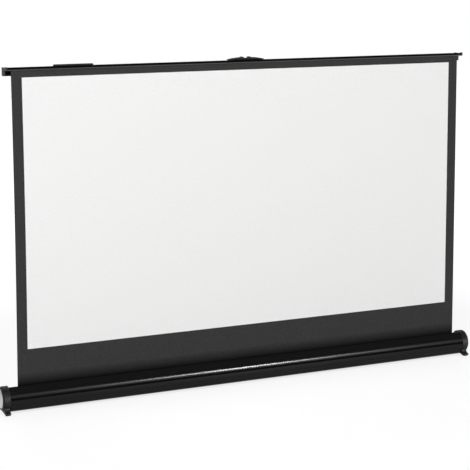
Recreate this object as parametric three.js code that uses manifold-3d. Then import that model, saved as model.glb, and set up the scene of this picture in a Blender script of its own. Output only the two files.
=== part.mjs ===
// A tabletop pull-up projection screen.
// A taut sheet winds onto a spring roller in a floor housing. A top bar carries its
// upper edge, and a pair of crossed arms behind it holds the bar up at any height.
// Millimetres. +X runs along the screen, +Y is its back, +Z is up and z = 0 is the table.

import * as THREE from "three";
import { mergeVertices } from "three/addons/utils/BufferGeometryUtils.js";
import Module from "manifold-3d";

const wasm = await Module();
wasm.setup();

// Screen sheet
const whiteWidth = 1107;
const whiteHeight = 623;
const sideBorder = 24.5;
const topBorder = 16;
const dropBorder = 83.9;
const sheetThickness = 0.4;
const sheetPlaneY = -10;
const bellyDepth = 2;
const waistDepth = 1;

// Housing, an extruded casing that lies along the table
const sheetEndRoom = 21;
const housingHeight = 55.8;
const housingFront = 29;
const housingBack = 19;
const housingWall = 1.6;
const tableGap = 4.7;
const slotWidth = 4.4;

// Tracks, a rearward T-slot in the housing and a taller one in the top bar
const lowerTrackHeight = 10;
const trackMouth = 5;
const trackLip = 1.6;
const lowerTrackDepth = 6;
const lowerTrackZ = 15;

// Top bar, an extrusion with a front lip, a flat top and a rear channel that is the upper track
const barEndRoom = 9;
const barFront = 14;
const barWall = 1.6;
const barLipDepth = 6.5;
const barLipHeight = 5;
const channelDepth = 15;
const channelHeight = 18;
const barRestGap = 3.6;

// Crossed arms
const openAngleDeg = 52.8;
const pivotInset = 174;
const armWidth = 13;
const armThickness = 3;
const pinRadius = 2.2;
const headRadius = 5;
const headThickness = 1.4;
const washerThickness = 0.6;
const washerRadius = 7;

// Clearances
const seatGap = 0.3;
const armGap = 2;
const cutOverrun = 5;
const weldDistance = 1e-4;

// Round pieces are drawn with these numbers of sides
const pinSides = 20;
const boreSides = 20;
const discSides = 48;
const hemRodSides = 12;
const curveSteps = 6;
const armEndSteps = 10;
const padCornerSteps = 3;

// Places that several pieces share
const sheetWidth = whiteWidth + 2 * sideBorder;
const housingLength = sheetWidth + 2 * sheetEndRoom;
const barLength = sheetWidth + 2 * barEndRoom;
const housingTopZ = tableGap + housingHeight;
const whiteBottomZ = housingTopZ + dropBorder;
const whiteTopZ = whiteBottomZ + whiteHeight;
const barTopZ = whiteTopZ + topBorder + barLipHeight;
const barBottomZ = barTopZ - channelHeight;
const upperTrackZ = barTopZ - channelHeight / 2;
const upperTrackDepth = channelDepth - barWall - trackLip;
const upperTrackHeight = channelHeight - 2 * barWall;
const shelfShare = 0.846;
const shelfZ = tableGap + housingHeight * shelfShare;
const barDrop = barBottomZ - shelfZ - barRestGap;
const openAngle = THREE.MathUtils.degToRad(openAngleDeg);
const openLift = upperTrackZ - lowerTrackZ;
const armLength = openLift / Math.sin(openAngle);
const closedAngle = Math.asin((openLift - barDrop) / armLength);
const pivotX = -housingLength / 2 + pivotInset;
const sliderX = pivotX + armLength * Math.cos(openAngle);
const frontArmY = housingBack + armGap + seatGap;
const washerFrontY = frontArmY + armThickness + seatGap;
const rearArmY = washerFrontY + washerThickness + seatGap;
const armsBackY = rearArmY + armThickness;

const paint = {
  casing: new THREE.MeshStandardMaterial({ color: 0x17181a, roughness: 0.42, metalness: 0.55 }),
  cap: new THREE.MeshStandardMaterial({ color: 0x1d1e20, roughness: 0.62, metalness: 0 }),
  silver: new THREE.MeshStandardMaterial({ color: 0xb9bbbd, roughness: 0.35, metalness: 0.9 }),
  rubber: new THREE.MeshStandardMaterial({ color: 0x101011, roughness: 0.85, metalness: 0 }),
  sheet: new THREE.MeshStandardMaterial({ color: 0xf1f1ef, roughness: 0.9, metalness: 0 }),
  tube: new THREE.MeshStandardMaterial({ color: 0xa8aaac, roughness: 0.4, metalness: 0.9 }),
  steel: new THREE.MeshStandardMaterial({ color: 0x8d8f92, roughness: 0.35, metalness: 0.95 }),
  arm: new THREE.MeshStandardMaterial({ color: 0x151617, roughness: 0.5, metalness: 0.6 }),
  nylon: new THREE.MeshStandardMaterial({ color: 0xd9d8d2, roughness: 0.55, metalness: 0 }),
};

// One closed surface with shared corners, no collapsed faces, and its faces out
function closed(geometry) {
  const bare = geometry.index ? geometry.toNonIndexed() : geometry.clone();
  bare.deleteAttribute("normal");
  bare.deleteAttribute("uv");
  const merged = mergeVertices(bare, weldDistance);
  const index = merged.index.array;
  const place = merged.attributes.position;
  const corners = [new THREE.Vector3(), new THREE.Vector3(), new THREE.Vector3()];
  const kept = [];
  let volume = 0;
  for (let i = 0; i < index.length; i += 3) {
    const face = [index[i], index[i + 1], index[i + 2]];
    if (new Set(face).size < 3) continue;
    face.forEach((vertex, k) => corners[k].fromBufferAttribute(place, vertex));
    volume += corners[0].dot(corners[1].clone().cross(corners[2]));
    kept.push(face);
  }
  const order = volume < 0 ? [0, 2, 1] : [0, 1, 2];
  merged.setIndex(kept.flatMap((face) => order.map((k) => face[k])));
  return merged;
}

function toSolid(geometry) {
  const shell = closed(geometry);
  return new wasm.Manifold(new wasm.Mesh({
    numProp: 3,
    vertProperties: new Float32Array(shell.attributes.position.array),
    triVerts: new Uint32Array(shell.index.array),
  }));
}

function toGeometry(solid) {
  const shell = solid.getMesh();
  const geometry = new THREE.BufferGeometry();
  geometry.setAttribute("position", new THREE.BufferAttribute(shell.vertProperties, 3));
  geometry.setIndex(new THREE.BufferAttribute(shell.triVerts, 1));
  return geometry;
}

function joinAndCut(joined, cuts = []) {
  let solid = toSolid(joined[0]);
  joined.slice(1).forEach((piece) => { solid = solid.add(toSolid(piece)); });
  cuts.forEach((piece) => { solid = solid.subtract(toSolid(piece)); });
  return toGeometry(solid);
}

function box(low, high) {
  const size = high.map((value, i) => value - low[i]);
  const middle = high.map((value, i) => (value + low[i]) / 2);
  return new THREE.BoxGeometry(...size).translate(...middle);
}

// A (y, z) outline pushed along X
function alongX(shape, fromX, toX, steps = curveSteps) {
  const low = Math.min(fromX, toX);
  const depth = Math.abs(toX - fromX);
  const geometry = new THREE.ExtrudeGeometry(shape, { depth, bevelEnabled: false, curveSegments: steps });
  const turn = new THREE.Matrix4().makeBasis(
    new THREE.Vector3(0, 1, 0), new THREE.Vector3(0, 0, 1), new THREE.Vector3(1, 0, 0));
  return geometry.applyMatrix4(turn).translate(low, 0, 0);
}

// An (x, z) outline pushed along Y
function alongY(shape, frontY, backY, steps = curveSteps) {
  const depth = backY - frontY;
  const geometry = new THREE.ExtrudeGeometry(shape, { depth, bevelEnabled: false, curveSegments: steps });
  const turn = new THREE.Matrix4().makeBasis(
    new THREE.Vector3(1, 0, 0), new THREE.Vector3(0, 0, 1), new THREE.Vector3(0, -1, 0));
  return geometry.applyMatrix4(turn).translate(0, backY, 0);
}

// A profile of (radius, place) pairs turned round the Y axis, or laid along X
function turnedOnY(profile, sides = pinSides) {
  return new THREE.LatheGeometry(profile.map(([radius, y]) => new THREE.Vector2(radius, y)), sides);
}

function turnedOnX(profile, sides = pinSides) {
  return turnedOnY(profile, sides).rotateZ(-Math.PI / 2);
}

function rodOnX(radius, fromX, toX, y, z, sides = boreSides) {
  const low = Math.min(fromX, toX);
  const high = Math.max(fromX, toX);
  return turnedOnX([[0, low], [radius, low], [radius, high], [0, high]], sides).translate(0, y, z);
}

function rodOnY(radius, frontY, backY, x, z, sides = boreSides) {
  return turnedOnY([[0, frontY], [radius, frontY], [radius, backY], [0, backY]], sides).translate(x, 0, z);
}

const screen = new THREE.Group();
screen.name = "projection_screen";

function addTo(group, name, geometry, material) {
  const mesh = new THREE.Mesh(closed(geometry), material);
  mesh.name = name;
  group.add(mesh);
  return mesh;
}

// Housing section. In front: a lip, a sloped shoulder, a full bulge, a groove and a tucked-in
// base. Behind: a lower, flat shelf that the closed top bar sits over, and a plane back
const slotFrontY = sheetPlaneY - slotWidth / 2;
const slotBackY = sheetPlaneY + slotWidth / 2;
const housingLip = 1.8;
const slotLipDrop = 5;
const grooveDepth = 1;
const grooveHeight = 2.4;
const shoulderShares = [0.69, 0.882];
const valleyShares = [0.81, 0.82];
const bulgeShares = [1, 0.686];
const bandShares = [1, 0.42];
const tuckShares = [0.93, 0.23];
const toeShares = [0.55, 0];
const grooveLevelShare = 0.577;
const heelShare = 0.62;
const shelfEndShare = 0.68;
const backTopShare = 0.738;

function housingSection(inset) {
  const front = (share) => -(housingFront - inset) * share;
  const back = (share) => (housingBack - inset) * share;
  const level = (share) => tableGap + inset + (housingHeight - 2 * inset) * share;
  const outline = new THREE.Shape();
  outline.moveTo(slotFrontY, level(1));
  outline.lineTo(slotFrontY - housingLip + inset / 2, level(1));
  outline.lineTo(front(shoulderShares[0]), level(shoulderShares[1]));
  outline.quadraticCurveTo(front(valleyShares[0]), level(shoulderShares[1]),
    front(valleyShares[0]), level(valleyShares[1]));
  outline.quadraticCurveTo(front(bulgeShares[0]), level(valleyShares[1]),
    front(bulgeShares[0]), level(bulgeShares[1]));
  outline.lineTo(front(bandShares[0]), level(bandShares[1]));
  outline.quadraticCurveTo(front(bandShares[0]), level(tuckShares[1]),
    front(tuckShares[0]), level(tuckShares[1]));
  outline.quadraticCurveTo(front(tuckShares[0]), level(0), front(toeShares[0]), level(0));
  outline.lineTo(back(heelShare), level(0));
  outline.quadraticCurveTo(back(1), level(0), back(1), lowerTrackZ - lowerTrackHeight / 2);
  outline.lineTo(back(1), level(backTopShare));
  outline.quadraticCurveTo(back(1), level(shelfShare), back(shelfEndShare), level(shelfShare));
  outline.lineTo(slotBackY, level(shelfShare));
  outline.closePath();
  return outline;
}

// T-slot cut into a wall whose outer face is the plane backY
function trackCuts(fromX, toX, backY, depth, z, height) {
  const half = height / 2;
  return [
    box([fromX, backY - trackLip - depth, z - half], [toX, backY - trackLip, z + half]),
    box([fromX, backY - trackLip - cutOverrun / 2, z - trackMouth / 2],
      [toX, backY + cutOverrun, z + trackMouth / 2]),
  ];
}

const rollerTubeShare = 0.179;
const rollerLevelShare = 0.561;
const rollerTubeWall = 1;
const woundThickness = 0.9;
const rollerTubeRadius = housingHeight * rollerTubeShare;
const woundRadius = rollerTubeRadius + seatGap + woundThickness;
const rollerY = sheetPlaneY + sheetThickness / 2 + seatGap + woundRadius;
const rollerZ = tableGap + housingHeight * rollerLevelShare;

// Screw ports for the end caps: one hangs from the shoulder on a web, one lies on the track
const portRadius = 3.4;
const portBore = 1.8;
const portDrop = 14.5;
const portWeb = 1.6;
const frontPort = { y: slotFrontY - housingLip - portRadius, z: housingTopZ - portDrop };
const rearPort = {
  y: housingBack - housingWall - portRadius,
  z: lowerTrackZ + lowerTrackHeight / 2 + housingWall + portRadius,
};

function housing() {
  const half = housingLength / 2;
  const over = half + cutOverrun;
  const trackBlock = box(
    [-half, housingBack - trackLip - lowerTrackDepth - housingWall, lowerTrackZ - lowerTrackHeight / 2 - housingWall],
    [half, housingBack - housingWall / 2, lowerTrackZ + lowerTrackHeight / 2 + housingWall]);
  const frontSlotLip = box([-half, slotFrontY - housingLip, housingTopZ - slotLipDrop],
    [half, slotFrontY, housingTopZ - housingWall / 2]);
  const rearSlotLip = box([-half, slotBackY, shelfZ - slotLipDrop],
    [half, slotBackY + housingLip, shelfZ - housingWall / 2]);
  const ports = [
    rodOnX(portRadius, -half, half, frontPort.y, frontPort.z),
    box([-half, frontPort.y - portWeb / 2, frontPort.z + portBore],
      [half, frontPort.y + portWeb / 2, housingTopZ - slotLipDrop - portWeb / 2]),
    rodOnX(portRadius, -half, half, rearPort.y, rearPort.z),
    box([-half, rearPort.y, rearPort.z - portRadius - housingWall / 2],
      [half, housingBack - housingWall / 2, rearPort.z]),
  ];
  const shell = joinAndCut([alongX(housingSection(0), -half, half)],
    [alongX(housingSection(housingWall), -over, over)]);
  const grooveZ = tableGap + housingHeight * grooveLevelShare;
  const cuts = [
    ...trackCuts(-over, over, housingBack, lowerTrackDepth, lowerTrackZ, lowerTrackHeight),
    box([-over, slotFrontY, housingTopZ - slotLipDrop - cutOverrun], [over, slotBackY, housingTopZ + cutOverrun]),
    box([-over, -housingFront - cutOverrun, grooveZ - grooveHeight / 2],
      [over, -housingFront + grooveDepth, grooveZ + grooveHeight / 2]),
    rodOnX(portBore, -over, over, frontPort.y, frontPort.z),
    rodOnX(portBore, -over, over, rearPort.y, rearPort.z),
  ];
  return joinAndCut([shell, trackBlock, frontSlotLip, rearSlotLip, ...ports], cuts);
}

addTo(screen, "housing", housing(), paint.casing);

// End caps: a round moulded cover with a flared foot, closed by a silver disc outside
const capRadius = 28;
const capCentreY = -3;
const capCentreZ = 33;
const capThickness = 17.7;
const capEdge = 4;
const discRadius = 23;
const discThickness = 1.8;
const discRecess = 1.2;
const discCrown = 0.6;
const footReach = 36.4;
const footToeHeight = 4.4;
const footWidth = 12.6;
const footInset = 1.3;
const footRise = 15;
const footWaistShare = 0.8;
const padHeight = 2;
const padLength = 13;
const padSideInset = 1;
const padToeInset = 3;
const screwHeadRadius = 3.2;
const screwHeadThickness = 1.6;
const screwRadius = 1.5;
const screwLength = 20;
const idlerRadius = 3;
const idlerSocket = 6;
const spindleRadius = 3;
const capInnerX = housingLength / 2 + seatGap;
const capOuterX = capInnerX + capThickness;
const recessX = capOuterX - discRecess;

function capRound(side) {
  const rim = [];
  for (let i = 0; i <= curveSteps; i += 1) {
    const angle = (Math.PI / 2) * (i / curveSteps);
    rim.push([capRadius - capEdge + capEdge * Math.cos(angle), capOuterX - capEdge + capEdge * Math.sin(angle)]);
  }
  const profile = [[0, capInnerX], [capRadius, capInnerX], ...rim,
    [discRadius + seatGap, capOuterX], [discRadius + seatGap, recessX], [0, recessX]];
  return turnedOnX(profile, discSides).scale(side, 1, 1).translate(0, capCentreY, capCentreZ);
}

function footOutline() {
  const base = padHeight + seatGap;
  const front = capCentreY - capRadius * footWaistShare;
  const rear = capCentreY + capRadius * footWaistShare;
  const outline = new THREE.Shape();
  outline.moveTo(-footReach, base);
  outline.lineTo(-footReach, base + footToeHeight / 2);
  outline.quadraticCurveTo(-footReach, base + footToeHeight, -footReach + footToeHeight / 2, base + footToeHeight);
  outline.quadraticCurveTo(front, base + footToeHeight, front, base + footRise);
  outline.lineTo(rear, base + footRise);
  outline.quadraticCurveTo(rear, base + footToeHeight, footReach - footToeHeight / 2, base + footToeHeight);
  outline.quadraticCurveTo(footReach, base + footToeHeight, footReach, base + footToeHeight / 2);
  outline.lineTo(footReach, base);
  outline.closePath();
  return outline;
}

function endCap(side) {
  const foot = alongX(footOutline(), side * (capInnerX + footInset), side * (capInnerX + footInset + footWidth));
  const holes = [frontPort, rearPort].flatMap((port) => [
    rodOnX(screwRadius + seatGap, side * (capInnerX - cutOverrun), side * capOuterX, port.y, port.z),
    rodOnX(screwHeadRadius + seatGap, side * (recessX - screwHeadThickness - seatGap),
      side * (capOuterX + cutOverrun), port.y, port.z),
  ]);
  const socketRadius = (side < 0 ? idlerRadius : spindleRadius) + seatGap;
  const socket = rodOnX(socketRadius, side * (capInnerX - cutOverrun), side * (capInnerX + idlerSocket),
    rollerY, rollerZ);
  return joinAndCut([capRound(side), foot], [...holes, socket]);
}

function capDisc(side) {
  const inner = recessX + seatGap;
  const flat = inner + discThickness - discCrown;
  const crown = [];
  for (let i = 0; i <= curveSteps; i += 1) {
    const share = i / curveSteps;
    crown.push([discRadius * (1 - share), flat + discCrown * (1 - (1 - share) ** 2)]);
  }
  return turnedOnX([[0, inner], [discRadius, inner], ...crown], discSides)
    .scale(side, 1, 1).translate(0, capCentreY, capCentreZ);
}

function capScrew(side, port) {
  const head = recessX - seatGap;
  const seat = head - screwHeadThickness + seatGap;
  const tip = seat - screwLength;
  const profile = [[0, tip], [screwRadius, tip], [screwRadius, seat], [screwHeadRadius, seat],
    [screwHeadRadius, head], [0, head]];
  return turnedOnX(profile).scale(side, 1, 1).translate(0, port.y, port.z);
}

function footPad(side, end) {
  const inner = capInnerX + footInset + padSideInset;
  const outer = capInnerX + footInset + footWidth - padSideInset;
  const toe = end * (footReach - padToeInset);
  const heel = end * (footReach - padToeInset - padLength);
  const xs = [side * inner, side * outer].sort((a, b) => a - b);
  const ys = [toe, heel].sort((a, b) => a - b);
  const corner = padSideInset;
  const pad = new THREE.Shape();
  pad.moveTo(xs[0] + corner, ys[0]);
  pad.lineTo(xs[1] - corner, ys[0]);
  pad.quadraticCurveTo(xs[1], ys[0], xs[1], ys[0] + corner);
  pad.lineTo(xs[1], ys[1] - corner);
  pad.quadraticCurveTo(xs[1], ys[1], xs[1] - corner, ys[1]);
  pad.lineTo(xs[0] + corner, ys[1]);
  pad.quadraticCurveTo(xs[0], ys[1], xs[0], ys[1] - corner);
  pad.lineTo(xs[0], ys[0] + corner);
  pad.quadraticCurveTo(xs[0], ys[0], xs[0] + corner, ys[0]);
  return new THREE.ExtrudeGeometry(pad, { depth: padHeight, bevelEnabled: false, curveSegments: padCornerSteps });
}

for (const [sideName, side] of [["left", -1], ["right", 1]]) {
  addTo(screen, `end_cap_${sideName}`, endCap(side), paint.cap);
  addTo(screen, `cap_disc_${sideName}`, capDisc(side), paint.silver);
  addTo(screen, `cap_screw_front_${sideName}`, capScrew(side, frontPort), paint.steel);
  addTo(screen, `cap_screw_rear_${sideName}`, capScrew(side, rearPort), paint.steel);
  addTo(screen, `foot_pad_front_${sideName}`, footPad(side, -1), paint.rubber);
  addTo(screen, `foot_pad_rear_${sideName}`, footPad(side, 1), paint.rubber);
}

// Spring roller: a tube on two plugs, the left on a pin, the right on the spring's fixed spindle
const rollerEndGap = 4;
const plugFlange = 2;
const plugFlangeStep = 1.4;
const plugLength = 22;
const collarLength = 14;
const springTurns = 18;
const springStepsPerTurn = 8;
const springSides = 6;
const springRadius = 6.2;
const springWire = 0.8;
const springPitch = 6.4;
const spindleFlat = 1;
const tubeEndX = housingLength / 2 - rollerEndGap - plugFlange;
const tubeBore = rollerTubeRadius - rollerTubeWall;
const roller = new THREE.Group();
roller.position.set(0, rollerY, rollerZ);
screen.add(roller);

function sleeve(outer, inner, fromX, toX, sides) {
  return turnedOnX([[inner, fromX], [outer, fromX], [outer, toX], [inner, toX], [inner, fromX]], sides);
}

function rollerPlug(side, bore) {
  const shank = tubeBore - seatGap;
  const flangeX = tubeEndX + seatGap;
  const inner = flangeX - plugLength;
  const outer = flangeX + plugFlange;
  const flangeRadius = woundRadius + plugFlangeStep;
  const profile = [[bore, inner], [shank, inner], [shank, flangeX], [flangeRadius, flangeX],
    [flangeRadius, outer], [bore, outer], [bore, inner]];
  return turnedOnX(profile).scale(side, 1, 1);
}

addTo(roller, "roller_tube", sleeve(rollerTubeRadius, tubeBore, -tubeEndX, tubeEndX, discSides / 2), paint.tube);
addTo(roller, "roller_wound_sheet",
  sleeve(woundRadius, rollerTubeRadius + seatGap, -sheetWidth / 2, sheetWidth / 2, discSides / 2), paint.sheet);
addTo(roller, "roller_plug_left", rollerPlug(-1, idlerRadius + seatGap), paint.nylon);
addTo(roller, "roller_plug_right", rollerPlug(1, spindleRadius + seatGap), paint.nylon);

// What the roller turns on stays still: the idler pin, the spindle, its spring and the collar
const idlerTipX = tubeEndX - plugLength;
const springEndX = tubeEndX - plugLength - springWire - seatGap;
const springStartX = springEndX - springTurns * springPitch;
const collarX = springStartX - springWire - 2 * seatGap;
const axle = new THREE.Group();
axle.position.copy(roller.position);
screen.add(axle);

function idlerPin() {
  const outer = -(capInnerX + idlerSocket - seatGap);
  return rodOnX(idlerRadius, outer, -idlerTipX, 0, 0, pinSides);
}

function springSpindle() {
  const outer = capInnerX + idlerSocket - seatGap;
  const rod = rodOnX(spindleRadius, collarX - collarLength, outer, 0, 0, pinSides);
  const flats = [-1, 1].map((end) => {
    const near = end * (spindleRadius - spindleFlat);
    const far = end * (spindleRadius + cutOverrun);
    return box([capInnerX, Math.min(near, far), -spindleRadius - cutOverrun],
      [outer + cutOverrun, Math.max(near, far), spindleRadius + cutOverrun]);
  });
  return joinAndCut([rod], flats);
}

class SpringLine extends THREE.Curve {
  getPoint(t, target = new THREE.Vector3()) {
    const angle = 2 * Math.PI * springTurns * t;
    return target.set(springStartX + (springEndX - springStartX) * t,
      springRadius * Math.cos(angle), springRadius * Math.sin(angle));
  }
}

function rollerSpring() {
  const wire = new THREE.Shape();
  wire.absarc(0, 0, springWire, 0, 2 * Math.PI);
  return new THREE.ExtrudeGeometry(wire, {
    steps: springTurns * springStepsPerTurn,
    curveSegments: springSides / 2,
    extrudePath: new SpringLine(),
  });
}

function springCollar() {
  return sleeve(tubeBore - seatGap, spindleRadius + seatGap, collarX - collarLength, collarX, pinSides);
}

addTo(axle, "idler_pin", idlerPin(), paint.steel);
addTo(axle, "spring_spindle", springSpindle(), paint.steel);
addTo(axle, "roller_spring", rollerSpring(), paint.steel);
addTo(roller, "spring_collar", springCollar(), paint.nylon);

// The sheet: straight up out of the slot, then bellied forward a little and drawn in at its waist
const hemRodRadius = 1.2;
const hemRodZ = barTopZ - barLipHeight / 2;
const sheetTopZ = hemRodZ - hemRodRadius - seatGap;
const sheetRows = 18;
const sheetColumns = 4;

function sheetPoint(across, z, face) {
  const rise = Math.max(0, (z - housingTopZ) / (sheetTopZ - housingTopZ));
  const swell = Math.sin(Math.PI * rise);
  const half = sheetWidth / 2 - waistDepth * swell;
  return [across * half, sheetPlaneY - bellyDepth * swell + face * (sheetThickness / 2), z];
}

function screenSheet() {
  const levels = [rollerZ, housingTopZ];
  for (let i = 1; i <= sheetRows; i += 1) {
    levels.push(housingTopZ + (sheetTopZ - housingTopZ) * (i / sheetRows));
  }
  const places = [];
  const faces = [];
  const rowLength = sheetColumns + 1;
  for (const face of [-1, 1]) {
    for (const z of levels) {
      for (let c = 0; c <= sheetColumns; c += 1) places.push(...sheetPoint(2 * (c / sheetColumns) - 1, z, face));
    }
  }
  const backStart = levels.length * rowLength;
  const quad = (a, b, c, d) => faces.push(a, b, c, a, c, d);
  for (let r = 0; r + 1 < levels.length; r += 1) {
    for (let c = 0; c < sheetColumns; c += 1) {
      const a = r * rowLength + c;
      quad(a, a + 1, a + rowLength + 1, a + rowLength);
      quad(backStart + a, backStart + a + rowLength, backStart + a + rowLength + 1, backStart + a + 1);
    }
    const left = r * rowLength;
    const right = left + sheetColumns;
    quad(left, left + rowLength, backStart + left + rowLength, backStart + left);
    quad(right, backStart + right, backStart + right + rowLength, right + rowLength);
  }
  const top = (levels.length - 1) * rowLength;
  for (let c = 0; c < sheetColumns; c += 1) {
    quad(c, backStart + c, backStart + c + 1, c + 1);
    quad(top + c, top + c + 1, backStart + top + c + 1, backStart + top + c);
  }
  const geometry = new THREE.BufferGeometry();
  geometry.setAttribute("position", new THREE.Float32BufferAttribute(places, 3));
  geometry.setIndex(faces);
  return geometry;
}

addTo(screen, "screen_sheet", screenSheet(), paint.sheet);

// Top bar: the lip grips the sheet's hem rod, and the channel behind is the upper track
const hemSlotWidth = sheetThickness + 2 * seatGap;
const barCapThickness = 4.2;
const barCapProud = 1;
const barCapNose = 0.8;
const barCapTabRise = 3.4;
const barCapTabWidth = 5;
const barCapSlopeShares = [0.2, 0.67];
const tongueLength = 8;
const tongueThickness = 2.5;
const handleX = 0;
const handleHalfLength = 47;
const handleLegEndRoom = 8;
const legLength = 5;
const legWidth = 6;
const channelFrontY = housingBack - channelDepth;
const handleLegInset = handleHalfLength - handleLegEndRoom;
const handleY = channelFrontY + channelDepth / 2;
const legXs = [handleX - handleLegInset, handleX + handleLegInset];

function topBar() {
  const half = barLength / 2;
  const over = half + cutOverrun;
  const plate = box([-half, -barFront, barTopZ - barWall], [half, housingBack, barTopZ]);
  const lip = box([-half, -barFront, barTopZ - barLipHeight], [half, -barFront + barLipDepth, barTopZ]);
  const channel = box([-half, channelFrontY, barBottomZ], [half, housingBack, barTopZ]);
  const legHoles = legXs.map((x) => box(
    [x - legLength / 2 - seatGap, handleY - legWidth / 2 - seatGap, barTopZ - barWall - cutOverrun / 2],
    [x + legLength / 2 + seatGap, handleY + legWidth / 2 + seatGap, barTopZ + cutOverrun]));
  return joinAndCut([plate, lip, channel], [
    ...trackCuts(-over, over, housingBack, upperTrackDepth, upperTrackZ, upperTrackHeight),
    rodOnX(hemRodRadius + seatGap, -over, over, sheetPlaneY, hemRodZ),
    box([-over, sheetPlaneY - hemSlotWidth / 2, barTopZ - barLipHeight - cutOverrun],
      [over, sheetPlaneY + hemSlotWidth / 2, hemRodZ]),
    ...legHoles,
  ]);
}

// The cap rises to a tab in front, and its lower edge slopes down to cover the channel's end
function barCapOutline() {
  const front = -barFront - barCapNose;
  const outline = new THREE.Shape();
  outline.moveTo(front, barTopZ - barLipHeight);
  outline.lineTo(front, barTopZ + barCapTabRise);
  outline.lineTo(front + barCapTabWidth / 2, barTopZ + barCapTabRise);
  outline.quadraticCurveTo(front + barCapTabWidth, barTopZ + barCapTabRise,
    front + 2 * barCapTabWidth, barTopZ + barCapProud);
  outline.lineTo(housingBack, barTopZ + barCapProud);
  outline.lineTo(housingBack, barBottomZ);
  outline.lineTo(channelFrontY + channelDepth * barCapSlopeShares[1], barBottomZ);
  outline.lineTo(channelFrontY + channelDepth * barCapSlopeShares[0], barTopZ - barLipHeight);
  outline.closePath();
  return outline;
}

// The cap's tongue lies under the plate, between the lip and the channel
function barCap(side) {
  const inner = barLength / 2 + seatGap;
  const plate = alongX(barCapOutline(), side * inner, side * (inner + barCapThickness));
  const xs = [side * (inner - tongueLength), side * (inner + barCapThickness / 2)].sort((a, b) => a - b);
  const tongueTop = barTopZ - barWall - seatGap;
  const tongue = box([xs[0], -barFront + barLipDepth + seatGap, tongueTop - tongueThickness],
    [xs[1], channelFrontY - seatGap, tongueTop]);
  return joinAndCut([plate, tongue]);
}

addTo(screen, "top_bar", topBar(), paint.casing);
addTo(screen, "hem_rod", rodOnX(hemRodRadius, -sheetWidth / 2, sheetWidth / 2, sheetPlaneY, hemRodZ, hemRodSides), paint.nylon);
addTo(screen, "bar_cap_left", barCap(-1), paint.cap);
addTo(screen, "bar_cap_right", barCap(1), paint.cap);

// Pull handle: a low grip with a horn each side of a middle notch, on two legs that lift through the bar's top
const handleShoulder = 5.6;
const handleHorn = 8.6;
const handleRamp = 16;
const hornRun = 13;
const hornTip = 8.4;
const handleNotchFloor = 5.2;
const handleNotchWidth = 11;
const handleWidth = 11;
const gripEndThickness = 1.6;
const gripThickness = 2.6;
const guideFlange = 0.8;
const guideMargin = 3;
const barbThickness = 1.5;
const barbReach = 1.5;
const handleLift = 8;

function gripOutline() {
  const under = guideFlange + 2 * seatGap;
  const endTop = under + gripEndThickness;
  const notch = handleNotchWidth / 2;
  const arch = handleNotchFloor - gripThickness;
  const legInner = handleLegInset - legLength / 2;
  const outline = new THREE.Shape();
  outline.moveTo(-handleHalfLength, under);
  outline.lineTo(-handleHalfLength, endTop - gripEndThickness / 2);
  outline.quadraticCurveTo(-handleHalfLength + handleRamp / 4, handleShoulder,
    -handleHalfLength + handleRamp, handleShoulder);
  outline.lineTo(-notch - hornRun, handleShoulder);
  outline.quadraticCurveTo(-notch - hornTip, handleShoulder, -notch - hornTip / 2, handleHorn);
  outline.quadraticCurveTo(-notch, handleHorn, -notch, handleNotchFloor);
  outline.lineTo(notch, handleNotchFloor);
  outline.quadraticCurveTo(notch, handleHorn, notch + hornTip / 2, handleHorn);
  outline.quadraticCurveTo(notch + hornTip, handleShoulder, notch + hornRun, handleShoulder);
  outline.lineTo(handleHalfLength - handleRamp, handleShoulder);
  outline.quadraticCurveTo(handleHalfLength - handleRamp / 4, handleShoulder,
    handleHalfLength, endTop - gripEndThickness / 2);
  outline.lineTo(handleHalfLength, under);
  outline.lineTo(legInner, under);
  outline.quadraticCurveTo(0, 2 * arch - under, -legInner, under);
  outline.closePath();
  return outline;
}

function handleGrip() {
  const grip = alongY(gripOutline(), handleY - handleWidth / 2, handleY + handleWidth / 2)
    .translate(handleX, 0, barTopZ);
  const barbTop = barTopZ - barWall - seatGap - handleLift;
  const legs = legXs.flatMap((x) => {
    const low = x - legLength / 2;
    const high = x + legLength / 2;
    const leg = box([low, handleY - legWidth / 2, barbTop - barbThickness],
      [high, handleY + legWidth / 2, barTopZ + guideFlange + 3 * seatGap]);
    const barb = box([low - barbReach, handleY - legWidth / 2, barbTop - barbThickness],
      [high + barbReach, handleY + legWidth / 2, barbTop]);
    return [leg, barb];
  });
  return joinAndCut([grip, ...legs]);
}

function handleGuide(x) {
  const low = barTopZ + seatGap;
  const flange = box([x - legLength / 2 - guideMargin, handleY - handleWidth / 2, low],
    [x + legLength / 2 + guideMargin, handleY + handleWidth / 2, low + guideFlange]);
  const hole = box([x - legLength / 2 - seatGap, handleY - legWidth / 2 - seatGap, low - cutOverrun],
    [x + legLength / 2 + seatGap, handleY + legWidth / 2 + seatGap, low + guideFlange + cutOverrun]);
  return joinAndCut([flange], [hole]);
}

addTo(screen, "handle_grip", handleGrip(), paint.rubber);
addTo(screen, "handle_guide_left", handleGuide(legXs[0]), paint.cap);
addTo(screen, "handle_guide_right", handleGuide(legXs[1]), paint.cap);

// Pivot brackets: a plate behind each track on the left, bolted to a long nut inside the slot
const bracketLength = 95;
const bracketThickness = 1.7;
const bracketTopProud = 3.7;
const bracketBelow = 10.6;
const bracketCorner = 3;
const nutLength = 84;
const nutDepth = 4;
const bracketScrewInset = 12;
const bracketScrewHeadThickness = 0.8;
const bracketScrewHeadRadius = 3.2;
const bracketScrewRadius = 1.6;
const bushRadius = 5;
const bracketFrontY = housingBack + seatGap;
const bracketBackY = bracketFrontY + bracketThickness;
const nutBackY = housingBack - trackLip - seatGap;
const nutFrontY = nutBackY - nutDepth;
const bracketScrewXs = [-1, 1].map((end) => end * (bracketLength / 2 - bracketScrewInset));

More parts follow.
